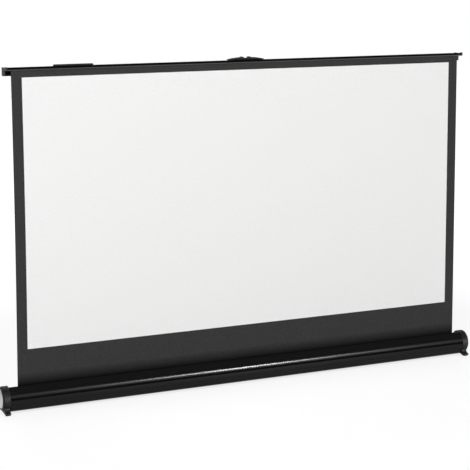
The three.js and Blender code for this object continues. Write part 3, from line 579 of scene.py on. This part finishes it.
sheet_half = sheet_high.x
lap_z = sheet_high.z - LAP
slot_top = housing_high.z


def coated_cloth(name, dark, light, rough, level, painted_shade_to=None):
    """Coated cloth with a fine even weave. Painted shade can darken it from a given height down to
    the slot.
    """
    material = finish(name, dark, light, rough, scale=260, bump=0.05, depth=0.0001, level=level)
    nodes, links = material.node_tree.nodes, material.node_tree.links
    where = nodes.new("ShaderNodeTexCoord")
    weave = []
    for direction in ("X", "Z"):
        wave = nodes.new("ShaderNodeTexWave")
        wave.bands_direction = direction
        wave.inputs["Scale"].default_value = WEAVE_SCALE
        wave.inputs["Distortion"].default_value = WEAVE_WOBBLE
        links.new(where.outputs["Object"], wave.inputs["Vector"])
        weave.append(wave)
    both = nodes.new("ShaderNodeMath")
    both.operation = "MULTIPLY"
    links.new(weave[0].outputs["Fac"], both.inputs[0])
    links.new(weave[1].outputs["Fac"], both.inputs[1])
    relief = nodes.new("ShaderNodeBump")
    relief.inputs["Strength"].default_value = WEAVE_RELIEF
    relief.inputs["Distance"].default_value = WEAVE_DEPTH
    links.new(both.outputs["Value"], relief.inputs["Height"])
    links.new(nodes["Bump"].outputs["Normal"], relief.inputs["Normal"])
    links.new(relief.outputs["Normal"], nodes["Principled BSDF"].inputs["Normal"])
    # Painted shade: the colour is scaled down towards the slot, standing in for the shade just
    # above the housing's lip.
    if painted_shade_to:
        parts = nodes.new("ShaderNodeSeparateXYZ")
        painted_shade = nodes.new("ShaderNodeMapRange")
        painted_shade.inputs["From Min"].default_value = slot_top
        painted_shade.inputs["From Max"].default_value = painted_shade_to
        painted_shade.inputs["To Min"].default_value = PAINTED_SHADE_LEAST
        painted_shade.inputs["To Max"].default_value = 1
        painted_shade_colour = nodes.new("ShaderNodeVectorMath")
        painted_shade_colour.operation = "SCALE"
        links.new(where.outputs["Object"], parts.inputs["Vector"])
        links.new(parts.outputs["Z"], painted_shade.inputs["Value"])
        links.new(nodes["Color Ramp"].outputs["Color"], painted_shade_colour.inputs["Vector"])
        links.new(painted_shade.outputs["Result"], painted_shade_colour.inputs["Scale"])
        links.new(painted_shade_colour.outputs["Vector"], nodes["Principled BSDF"].inputs["Base Color"])
    return material


white_cloth = coated_cloth(
    "white coated cloth", (0.84, 0.84, 0.835), (0.88, 0.88, 0.875), rough=(0.8, 0.9), level=0.1)
# The black border is printed, and near the slot its colour also carries painted shade.
black_border = coated_cloth(
    "printed black border with painted shade at the slot", (0.034, 0.0342, 0.0347), (0.044, 0.0442, 0.0447),
    rough=(0.6, 0.75), level=0.02, painted_shade_to=PAINTED_SHADE_TOP)
black_back = coated_cloth(
    "black coated back", (0.020, 0.020, 0.0205), (0.028, 0.028, 0.0285),
    rough=(0.75, 0.9), level=0.1)


def belly(z):
    """How far the sheet gives way at a height, from 0 at the slot and the bar to 1 between."""
    rise = max(0.0, (z - slot_top) / (sheet_high.z - slot_top))
    return math.sin(math.pi * rise)


def lap_thickness(z):
    """How thick the upper part of the sheet is, from nothing at the scarf's edge."""
    return CLOTH * min(1.0, max(0.0, (z - lap_z) / SCARF))


def cloth(name, levels, front, thickness, is_white):
    """A cloth with a row of points at each level.

    Its face lies at front(z), and its back is thickness(z) behind that.
    """
    white = WHITE_WIDTH / 2
    columns = [-1 + 2 * i / SHEET_COLUMNS for i in range(SHEET_COLUMNS + 1)]
    across = [-sheet_half] + [white * c for c in columns] + [sheet_half]
    mesh = bmesh.new()

    def patch(row, next_row, i):
        return mesh.faces.new((row[i], row[i + 1], next_row[i + 1], next_row[i]))

    faces = []
    for back in (False, True):
        grid = []
        for z in levels:
            draw = 1 - WAIST / sheet_half * belly(z)
            y = front(z) + (thickness(z) if back else 0)
            grid.append([mesh.verts.new((x * draw, y, z)) for x in across])
        faces.append(grid)
    for r in range(len(levels) - 1):
        for c in range(len(across) - 1):
            inside = 0 < c < len(across) - 2 and is_white((levels[r] + levels[r + 1]) / 2)
            for grid, ink in zip(faces, (WHITE if inside else BORDER, BACK)):
                patch(grid[r], grid[r + 1], c).material_index = ink
    front_grid, back_grid = faces
    for r in range(len(levels) - 1):
        for c in (0, -1):
            edge = (front_grid[r][c], front_grid[r + 1][c], back_grid[r + 1][c], back_grid[r][c])
            mesh.faces.new(edge).material_index = BORDER
    for r in (0, -1):
        for c in range(len(across) - 1):
            patch(front_grid[r], back_grid[r], c).material_index = BORDER
    piece = placed(name, mesh)
    for material in (white_cloth, black_border, black_back):
        piece.data.materials.append(material)
    return smooth(piece)


def face_plane(z):
    """Where the front of the sheet lies, forward of its plane by the belly."""
    return SHEET_PLANE - CLOTH / 2 - BELLY * belly(z)


def steps_between(low, high, count):
    return [low + (high - low) * i / count for i in range(count + 1)]


def white_field(z):
    return WHITE_BOTTOM < z < WHITE_TOP


def lower_face(z):
    """The front of the lower part, which passes behind the upper one where they lap."""
    return face_plane(z) + lap_thickness(z) + (LAP_GAP if z > lap_z else 0)


lower_top = sheet_high.z - LOWER_SHORT
lower_levels = [roller_z] + steps_between(slot_top, WHITE_BOTTOM, BORDER_ROWS)
lower_levels += steps_between(WHITE_BOTTOM, lap_z, SHEET_ROWS)[1:] + [lap_z + SCARF, lower_top]
lower_sheet = cloth(
    "sheet_lower", lower_levels, lower_face, lambda z: CLOTH, lambda z: z > WHITE_BOTTOM)
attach(lower_sheet, "base")
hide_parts("screen_sheet")
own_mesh(lower_sheet)

upper_levels = [lap_z, lap_z + SCARF] + steps_between(lap_z + SCARF, WHITE_TOP, UPPER_ROWS)[1:]
upper_levels += steps_between(WHITE_TOP, sheet_high.z, UPPER_ROWS)[1:]
upper_sheet = cloth(
    "sheet_upper", upper_levels, face_plane, lambda z: max(lap_thickness(z), LAP_GAP),
    white_field)
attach(upper_sheet, "bar")
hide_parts("screen_sheet")


def wound_sheet():
    """The strip that is left on the roller, whose end comes off in front, and its length."""
    inner = (tube_high.y - tube_low.y) / 2 + DISC_GAP
    outer = (wound_high.y - wound_low.y) / 2
    pitch = (outer - inner) / WOUND_TURNS
    strip = min(CLOTH, pitch * WOUND_FILL)
    outline, back = [], []
    count = WOUND_TURNS * WOUND_STEPS
    for i in range(count + 1):
        turns = i / WOUND_STEPS
        angle = math.pi + 2 * math.pi * (turns - WOUND_TURNS)
        radius = inner + (outer - inner - strip) * turns / WOUND_TURNS
        across, up = math.cos(angle), math.sin(angle)
        outline.append((roller_y + (radius + strip) * across, roller_z + (radius + strip) * up))
        back.append((roller_y + radius * across, roller_z + radius * up))
    piece = extruded("sheet_wound", outline + back[::-1], wound_low.x, wound_high.x)
    mean = (inner + outer) / 2
    return smooth(piece), 2 * math.pi * mean * WOUND_TURNS


wound, wound_length = wound_sheet()
stand_for(wound, "roller_wound_sheet", "roller", black_back)

# Top bar
# A thin matt black extrusion: a front lip with a bore for the hem rod and a bright chamfer
# below, a flat top and a rear track. A moulded cap closes each end, its tongue under the top.
BAR_WALL = 0.0016
BAR_LIP_DEPTH = 0.0065
BAR_LIP_HEIGHT = 0.005
BAR_CHAMFER = 0.0022
BAR_CHAMFER_DEPTH = BAR_CHAMFER * 0.6
BAR_ROUND = 0.0003
HEM_BORE = 0.0015
HEM_SLOT = 0.00096
BORE_STEPS = 20
CHANNEL_DEPTH = 0.015
CAP_THICKNESS = 0.0042
CAP_TAB_WIDTH = 0.005
CAP_PROUD = 0.001
CAP_ROUND = 0.0009
SOFT_SEGMENTS = 3
TONGUE_LENGTH = 0.008
TONGUE_THICKNESS = 0.0025
LEG_ROOM = 0.0003
LEG_LENGTH = 0.005
LEG_WIDTH = 0.006
bar_low, bar_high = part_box("top_bar")
lip_z = bar_high.z - BAR_LIP_HEIGHT
channel_front = bar_high.y - CHANNEL_DEPTH
leg_y = (channel_front + bar_high.y) / 2
guide_left, guide_right = [
    sum(corner.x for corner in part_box(f"handle_guide_{hand}")) / 2 for hand in ("left", "right")]


def bar_outline():
    """The section from the lip in front, round its bore, to the track in the back."""
    top, bottom, front, back = bar_high.z, bar_low.z, bar_low.y, bar_high.y
    rod_z = (top + lip_z) / 2
    spread = math.asin(HEM_SLOT / 2 / HEM_BORE)
    outline = [(front, top), (front, lip_z + BAR_CHAMFER), (front + BAR_CHAMFER_DEPTH, lip_z)]
    outline.append((SHEET_PLANE - HEM_SLOT / 2, lip_z))
    start, turn = 3 * math.pi / 2 - spread, 2 * math.pi - 2 * spread
    for i in range(BORE_STEPS + 1):
        angle = start - turn * i / BORE_STEPS
        across, up = HEM_BORE * math.cos(angle), HEM_BORE * math.sin(angle)
        outline.append((SHEET_PLANE + across, rod_z + up))
    lip_back = front + BAR_LIP_DEPTH
    outline += [(SHEET_PLANE + HEM_SLOT / 2, lip_z), (lip_back, lip_z), (lip_back, top - BAR_WALL)]
    outline += [(channel_front, top - BAR_WALL), (channel_front, bottom), (back, bottom)]
    middle = (top + bottom) / 2
    inside, deep = back - TRACK_LIP, channel_front + BAR_WALL
    half, mouth = (top - bottom) / 2 - BAR_WALL, TRACK_MOUTH / 2
    track = [(back, mouth), (inside, mouth), (inside, half), (deep, half)]
    outline += [(y, middle - z) for y, z in track]
    outline += [(y, middle + z) for y, z in track[::-1]]
    return outline + [(back, top)]


def box_into(mesh, low, high):
    """Adds a box between two corners to a bmesh."""
    size = [b - a for a, b in zip(low, high)]
    middle = [(a + b) / 2 for a, b in zip(low, high)]
    place = Matrix.Translation(middle) @ Matrix.Diagonal((*size, 1))
    bmesh.ops.create_cube(mesh, size=1, matrix=place)


def carved(piece, boxes):
    """The piece with each box, given by two corners, cut out of it."""
    tool = bmesh.new()
    for low, high in boxes:
        box_into(tool, low, high)
    cutter = placed("cutter", tool)
    cut = piece.modifiers.new("cut", "BOOLEAN")
    cut.operation = "DIFFERENCE"
    cut.use_self = True
    cut.object = cutter
    bpy.context.view_layer.update()
    evaluated = piece.evaluated_get(bpy.context.evaluated_depsgraph_get())
    done = bpy.data.meshes.new_from_object(evaluated)
    piece.modifiers.clear()
    piece.data = done
    bpy.data.objects.remove(cutter)
    return piece


def on_chamfer(middle):
    """Whether a point lies on the chamfer under the bar's lip."""
    return middle.y < bar_low.y + BAR_CHAMFER_DEPTH and middle.z < lip_z + BAR_CHAMFER


leg_holes = []
for leg_x in (guide_left, guide_right):
    half_length, half_width = LEG_LENGTH / 2 + LEG_ROOM, LEG_WIDTH / 2 + LEG_ROOM
    leg_holes.append((
        (leg_x - half_length, leg_y - half_width, bar_high.z - 2 * BAR_WALL),
        (leg_x + half_length, leg_y + half_width, bar_high.z + BAR_WALL)))
bar = carved(extruded("bar_extrusion", bar_outline(), bar_low.x, bar_high.x), leg_holes)
polished = finish(
    "polished black edge", (0.006, 0.0062, 0.0065), (0.010, 0.0102, 0.0105),
    rough=(0.2, 0.26), scale=900, bump=0.05, depth=0.0001, grain=(0.02, 1, 1), level=0.9)
stand_for(bar, "top_bar", "bar", matt_black)
paint_where(bar, polished, on_chamfer)
paint_where(bar, anodised, lambda middle: middle.y > bar_high.y - BAR_ROUND)
rounded(smooth(bar), BAR_ROUND)
dress("hem_rod", nylon)


def bar_cap(side, hand):
    """The cap with its tab in front, which slopes down to the rest, and its tongue."""
    low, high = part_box(f"bar_cap_{hand}")
    outer = max(abs(low.x), abs(high.x))
    inner = outer - CAP_THICKNESS
    front, crest = low.y, bar_high.z + CAP_PROUD
    tab_back = front + CAP_TAB_WIDTH
    outline = [(front, lip_z), (front, high.z), (front + CAP_TAB_WIDTH / 2, high.z)]
    outline += bend(outline[-1], (tab_back, high.z), (front + 2 * CAP_TAB_WIDTH, crest))
    outline += [(high.y, crest), (high.y, bar_low.z)]
    outline += [(channel_front, bar_low.z), (channel_front, lip_z)]
    cap = extruded(f"bar_end_{hand}", outline, side * inner, side * outer)
    mesh = bmesh.new()
    mesh.from_mesh(cap.data)
    tongue_top = bar_high.z - BAR_WALL - LEG_ROOM
    tongue_front = bar_low.y + BAR_LIP_DEPTH + LEG_ROOM
    ends = sorted((side * (inner - TONGUE_LENGTH), side * (inner + CAP_THICKNESS / 2)))
    box_into(
        mesh, (ends[0], tongue_front, tongue_top - TONGUE_THICKNESS),
        (ends[1], channel_front - LEG_ROOM, tongue_top))
    mesh.to_mesh(cap.data)
    mesh.free()
    stand_for(cap, f"bar_cap_{hand}", "bar", moulded)
    rounded(smooth(cap), CAP_ROUND, SOFT_SEGMENTS)


for side, hand in ((-1, "left"), (1, "right")):
    bar_cap(side, hand)

# Pull handle
# A low soft-touch grip with a horn each side of its middle notch and a web beneath. It stands
# on two barbed legs that rise through the bar's top when it is pulled. A guide frames each leg.
GRIP_ROUND = 0.0009
GRIP_UNDER = 0.0014
GRIP_TIP = 0.0004
GRIP_ARCH = 0.0026
NOSE_PULL = (0.001, 0.003)
NOSE_END = (0.007, 0.0039)
CREST_PULL = (0.018, 0.0061)
CREST_END = (0.012, 0.0066)
HORN_PULL = (0.007, 0.0068)
HORN_WIDTH = 0.0048
NOTCH_HALF = 0.0055
NOTCH_FLOOR = 0.0052
NOSE_STEPS = 6
GRIP_STEPS = 8
ARCH_STEPS = 16
WEB_WIDTH = 0.007
WEB_SINK = 0.001
BARB_THICKNESS = 0.0015
BARB_REACH = 0.0015
grip_low, grip_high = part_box("handle_grip")


def grip_outline():
    """The grip from the front. Its ends are thin, and it is arched underneath.

    The nose and the first pull are measured in from the end, the crest and the horn out from
    the notch. Heights are over the bar, and a pull is a corner that a curve is drawn towards.
    """
    half, horn = grip_high.x, grip_high.z - bar_high.z

    def from_end(place):
        return half - place[0], place[1]

    def from_notch(place):
        return NOTCH_HALF + place[0], place[1]

    right = [(half, GRIP_UNDER), (half, GRIP_UNDER + GRIP_TIP)]
    right += bend(right[-1], from_end(NOSE_PULL), from_end(NOSE_END), NOSE_STEPS)
    right += bend(right[-1], from_end(CREST_PULL), from_notch(CREST_END), GRIP_STEPS)
    right += bend(right[-1], from_notch(HORN_PULL), (NOTCH_HALF + HORN_WIDTH, horn), GRIP_STEPS)
    right += bend(right[-1], (NOTCH_HALF, horn), (NOTCH_HALF, NOTCH_FLOOR), GRIP_STEPS)
    left = [(-x, z) for x, z in right[::-1]]
    leg_inner = guide_right - LEG_LENGTH / 2
    arch = [(-leg_inner, GRIP_UNDER)]
    arch += bend(arch[0], (0, 2 * GRIP_ARCH - GRIP_UNDER), (leg_inner, GRIP_UNDER), ARCH_STEPS)
    return [(x, bar_high.z + z) for x, z in right + left + arch]


grip = extruded(
    "pull_grip", grip_outline(), grip_low.y, grip_high.y, lambda a, b, t: (a, t, b))
parts = bmesh.new()
parts.from_mesh(grip.data)


def post(middle, half_length, half_width, foot, head):
    """Adds an upright block to the grip, on the line of its legs."""
    box_into(
        parts, (middle - half_length, leg_y - half_width, foot),
        (middle + half_length, leg_y + half_width, head))


web_top = bar_high.z + GRIP_ARCH + WEB_SINK
post(0, guide_right - LEG_LENGTH, WEB_WIDTH / 2, bar_high.z + LEG_ROOM, web_top)
for leg_x in (guide_left, guide_right):
    post(leg_x, LEG_LENGTH / 2, LEG_WIDTH / 2, grip_low.z, bar_high.z + GRIP_ARCH)
    barb_half = LEG_LENGTH / 2 + BARB_REACH
    post(leg_x, barb_half, LEG_WIDTH / 2, grip_low.z, grip_low.z + BARB_THICKNESS)
parts.to_mesh(grip.data)
parts.free()
stand_for(grip, "handle_grip", "handle", rubber)
rounded(smooth(grip), GRIP_ROUND, SOFT_SEGMENTS)
for hand in ("left", "right"):
    dress(f"handle_guide_{hand}", moulded, BAR_ROUND)

# Pivot brackets
# A black painted steel plate lies behind each track at the left and is drawn against a long
# nut in the slot by two countersunk screws. A headed pin goes through plate, nut and arm.
PLATE_ROUND = 0.0003
PIN_RADIUS = 0.0022
PIN_BORE = 0.0025
PIN_SIDES = 48
HEAD_THICKNESS = 0.0014
DOME_SHARE = 0.45
DOME_STEPS = 8
SHANK_RADIUS = 0.0016
SINK_DEPTH = 0.0008
SCREW_SIDES = 40
CROSS_REACH = 0.0018
CROSS_HALF = 0.0005
CROSS_DEPTH = 0.0006
RING_EDGE = 0.0002
painted = finish(
    "black painted steel", (0.013, 0.0132, 0.0138), (0.021, 0.0213, 0.022),
    rough=(0.35, 0.5), scale=1400, bump=0.22, depth=0.00015)
for level in ("lower", "upper"):
    dress(f"{level}_pivot_plate", painted, PLATE_ROUND)
    dress(f"{level}_pivot_nut", zinc, PLATE_ROUND)


def centred(piece, low, high):
    """Moves a turned piece onto the axis in the middle of a box, and smooths it."""
    middle = ((low.x + high.x) / 2, 0, (low.z + high.z) / 2)
    piece.data.transform(Matrix.Translation(middle))
    return smooth(piece)


def headed_pin(name, both_ends=False):
    """A turned pin with a domed head behind, or a rivet with one at each end."""
    low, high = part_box(name)
    head = (high.x - low.x) / 2
    dome = HEAD_THICKNESS * DOME_SHARE

    def crown(edge, way):
        points = [(head, edge)]
        for i in range(1, DOME_STEPS + 1):
            angle = math.pi / 2 * i / DOME_STEPS
            points.append((head * math.cos(angle), edge + way * dome * math.sin(angle)))
        points[-1] = (0, edge + way * dome)
        return points

    if both_ends:
        under = low.y + HEAD_THICKNESS
        profile = crown(low.y + dome, -1)[::-1] + [(head, under), (PIN_RADIUS, under)]
    else:
        profile = [(0, low.y), (PIN_RADIUS, low.y)]
    under = high.y - HEAD_THICKNESS
    profile += [(PIN_RADIUS, under), (head, under)] + crown(high.y - dome, 1)
    return centred(turned(f"{name}_turned", profile, PIN_SIDES), low, high)


def cross_screw(name):
    """A countersunk screw with a cross recess in its head."""
    low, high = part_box(name)
    head, under = (high.x - low.x) / 2, high.y - SINK_DEPTH
    profile = [(0, low.y), (SHANK_RADIUS, low.y), (SHANK_RADIUS, under)]
    profile += [(head, under), (head, high.y), (0, high.y)]
    screw = turned(f"{name}_turned", profile, SCREW_SIDES)
    arms = ((CROSS_REACH, CROSS_HALF), (CROSS_HALF, CROSS_REACH))
    floor, above = high.y - CROSS_DEPTH, high.y + CROSS_DEPTH
    carved(screw, [((-a, floor, -b), (a, above, b)) for a, b in arms])
    return centred(screw, low, high)


for level, body in (("lower", "base"), ("upper", "bar")):
    for place in ("outer", "inner"):
        name = f"{level}_pivot_screw_{place}"
        stand_for(cross_screw(name), name, body, zinc)
    name = f"{level}_pivot_pin"
    stand_for(headed_pin(name), name, body, zinc)


def ring(name):
    """A turned bush or washer that goes round a pin."""
    low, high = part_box(name)
    outer = (high.x - low.x) / 2
    rim = outer - RING_EDGE
    profile = [(PIN_BORE, low.y), (rim, low.y), (outer, low.y + RING_EDGE)]
    profile += [(outer, high.y - RING_EDGE), (rim, high.y), (PIN_BORE, high.y)]
    return centred(turned(f"{name}_turned", profile, PIN_SIDES), low, high)


stand_for(ring("lower_pivot_bush"), "lower_pivot_bush", "base", nylon)

# Crossed arms
# Two flat steel bars, painted black, cross behind the sheet. A rivet with a nylon washer
# joins them halfway, and their ends turn on the pivot pins and on the slider pins.
ARM_ROUND = 0.0003
dress("arm_rear", painted, ARM_ROUND)
dress("arm_front", painted, ARM_ROUND)
rivet = headed_pin("centre_rivet", both_ends=True)
stand_for(rivet, "centre_rivet", "rear_arm", zinc)
stand_for(ring("centre_washer"), "centre_washer", "rear_arm", nylon)

# Sliders and track stops
# A nylon block runs in each T-slot and carries the sliding end of one arm on a headed pin.
# A nylon stop clamped in the slot ends its way where the screen is fully up.
SLIDER_ROUND = 0.0003
for level in ("lower", "upper"):
    dress(f"{level}_slider_block", nylon, SLIDER_ROUND)
    dress(f"{level}_track_stop", nylon, SLIDER_ROUND)
    name = f"{level}_slider_pin"
    stand_for(headed_pin(name), name, f"{level}_slider", zinc)

# Table and lamps
# A plain white table top in a white room whose ceiling is darker. A big soft lamp stands at
# the front left, a weaker one at the right, and a strip lamp shows along the housing.
FLOOR_SIZE = 14
TABLE_SEEN = 0.34
TABLE_BOUNCE = 0.8
GLOW = 0.74
GLOW_NEAR = 0.9
GLOW_FAR = 2.2
ROOM_LIGHT = 0.26
CEILING_FROM = 0.2
CEILING_TO = 0.6


def seen_by_eye(nodes, links):
    """1 for what the camera sees, also in a reflection or through glass, 0 for other light."""
    path = nodes.new("ShaderNodeLightPath")
    seen = nodes.new("ShaderNodeMath")
    seen.operation = "MAXIMUM"
    seen_too = nodes.new("ShaderNodeMath")
    seen_too.operation = "MAXIMUM"
    links.new(path.outputs["Is Camera Ray"], seen.inputs[0])
    links.new(path.outputs["Is Glossy Ray"], seen.inputs[1])
    links.new(seen.outputs["Value"], seen_too.inputs[0])
    links.new(path.outputs["Is Transmission Ray"], seen_too.inputs[1])
    return seen_too.outputs["Value"]


def white_table():
    """White to the eye and in reflections: partly lit, partly a glow that grows outwards."""
    material = bpy.data.materials.new("white table top")
    material.use_nodes = True
    nodes, links = material.node_tree.nodes, material.node_tree.links
    nodes.clear()
    output = nodes.new("ShaderNodeOutputMaterial")
    lit = nodes.new("ShaderNodeBsdfDiffuse")
    lit.inputs["Color"].default_value = (TABLE_SEEN, TABLE_SEEN, TABLE_SEEN, 1)
    own = nodes.new("ShaderNodeEmission")
    where = nodes.new("ShaderNodeNewGeometry")
    away = nodes.new("ShaderNodeVectorMath")
    away.operation = "LENGTH"
    grow = nodes.new("ShaderNodeMapRange")
    grow.inputs["From Min"].default_value = GLOW_NEAR
    grow.inputs["From Max"].default_value = GLOW_FAR
    grow.inputs["To Min"].default_value = GLOW
    grow.inputs["To Max"].default_value = 1
    shown = nodes.new("ShaderNodeAddShader")
    plain = nodes.new("ShaderNodeBsdfDiffuse")
    plain.inputs["Color"].default_value = (TABLE_BOUNCE, TABLE_BOUNCE, TABLE_BOUNCE, 1)
    mix = nodes.new("ShaderNodeMixShader")
    links.new(where.outputs["Position"], away.inputs[0])
    links.new(away.outputs["Value"], grow.inputs["Value"])
    links.new(grow.outputs["Result"], own.inputs["Strength"])
    links.new(lit.outputs["BSDF"], shown.inputs[0])
    links.new(own.outputs["Emission"], shown.inputs[1])
    links.new(seen_by_eye(nodes, links), mix.inputs["Fac"])
    links.new(plain.outputs["BSDF"], mix.inputs[1])
    links.new(shown.outputs["Shader"], mix.inputs[2])
    links.new(mix.outputs["Shader"], output.inputs["Surface"])
    return material


half = FLOOR_SIZE / 2
corners = ((-half, -half), (half, -half), (half, half), (-half, half))
top = bmesh.new()
top.faces.new([top.verts.new((x, y, 0)) for x, y in corners])
table = placed("table_top", top)
table.data.materials.append(white_table())


def lamp(name, place, target, size, watts, lights=True, gleams=True):
    """A soft square lamp turned to target. It can leave out the light or the reflection."""
    data = bpy.data.lights.new(name, "AREA")
    data.shape = "RECTANGLE"
    data.size, data.size_y = size
    data.energy = watts
    made = bpy.data.objects.new(name, data)
    made.location = place
    made.rotation_euler = (Vector(target) - Vector(place)).to_track_quat("-Z", "Y").to_euler()
    made.visible_camera = False
    made.visible_diffuse = lights
    made.visible_glossy = gleams
    bpy.context.scene.collection.objects.link(made)


lamp("key lamp", place=(-2.4, -3.4, 2.6), target=(0, 0, 0.35), size=(2.4, 2.0), watts=122)
lamp(
    "fill lamp", place=(2.6, -3.2, 1.8), target=(0, 0, 0.4), size=(2.4, 2.4), watts=44,
    gleams=False)
lamp("back lamp", place=(0.5, 2.2, 2.8), target=(0, 0, 0.4), size=(2.2, 1.6), watts=30)
lamp(
    "strip lamp", place=(0.99, -2.5, 0.22), target=(0, 0, 0.04), size=(0.12, 0.7), watts=188,
    lights=False)
world = bpy.data.worlds.new("studio")
world.use_nodes = True
sky, sky_links = world.node_tree.nodes, world.node_tree.links
direction = sky.new("ShaderNodeTexCoord")
parts = sky.new("ShaderNodeSeparateXYZ")
ceiling = sky.new("ShaderNodeMapRange")
ceiling.inputs["From Min"].default_value = CEILING_FROM
ceiling.inputs["From Max"].default_value = CEILING_TO
ceiling.inputs["To Min"].default_value = 1
ceiling.inputs["To Max"].default_value = ROOM_LIGHT
strength = sky.new("ShaderNodeMix")
strength.inputs["A"].default_value = ROOM_LIGHT
sky_links.new(direction.outputs["Generated"], parts.inputs["Vector"])
sky_links.new(parts.outputs["Z"], ceiling.inputs["Value"])
sky_links.new(ceiling.outputs["Result"], strength.inputs["B"])
sky_links.new(seen_by_eye(sky, sky_links), strength.inputs["Factor"])
sky_links.new(strength.outputs["Result"], sky["Background"].inputs["Strength"])
sky["Background"].inputs["Color"].default_value = (1, 1, 1, 1)
bpy.context.scene.world = world
bpy.context.scene.view_settings.view_transform = "Standard"
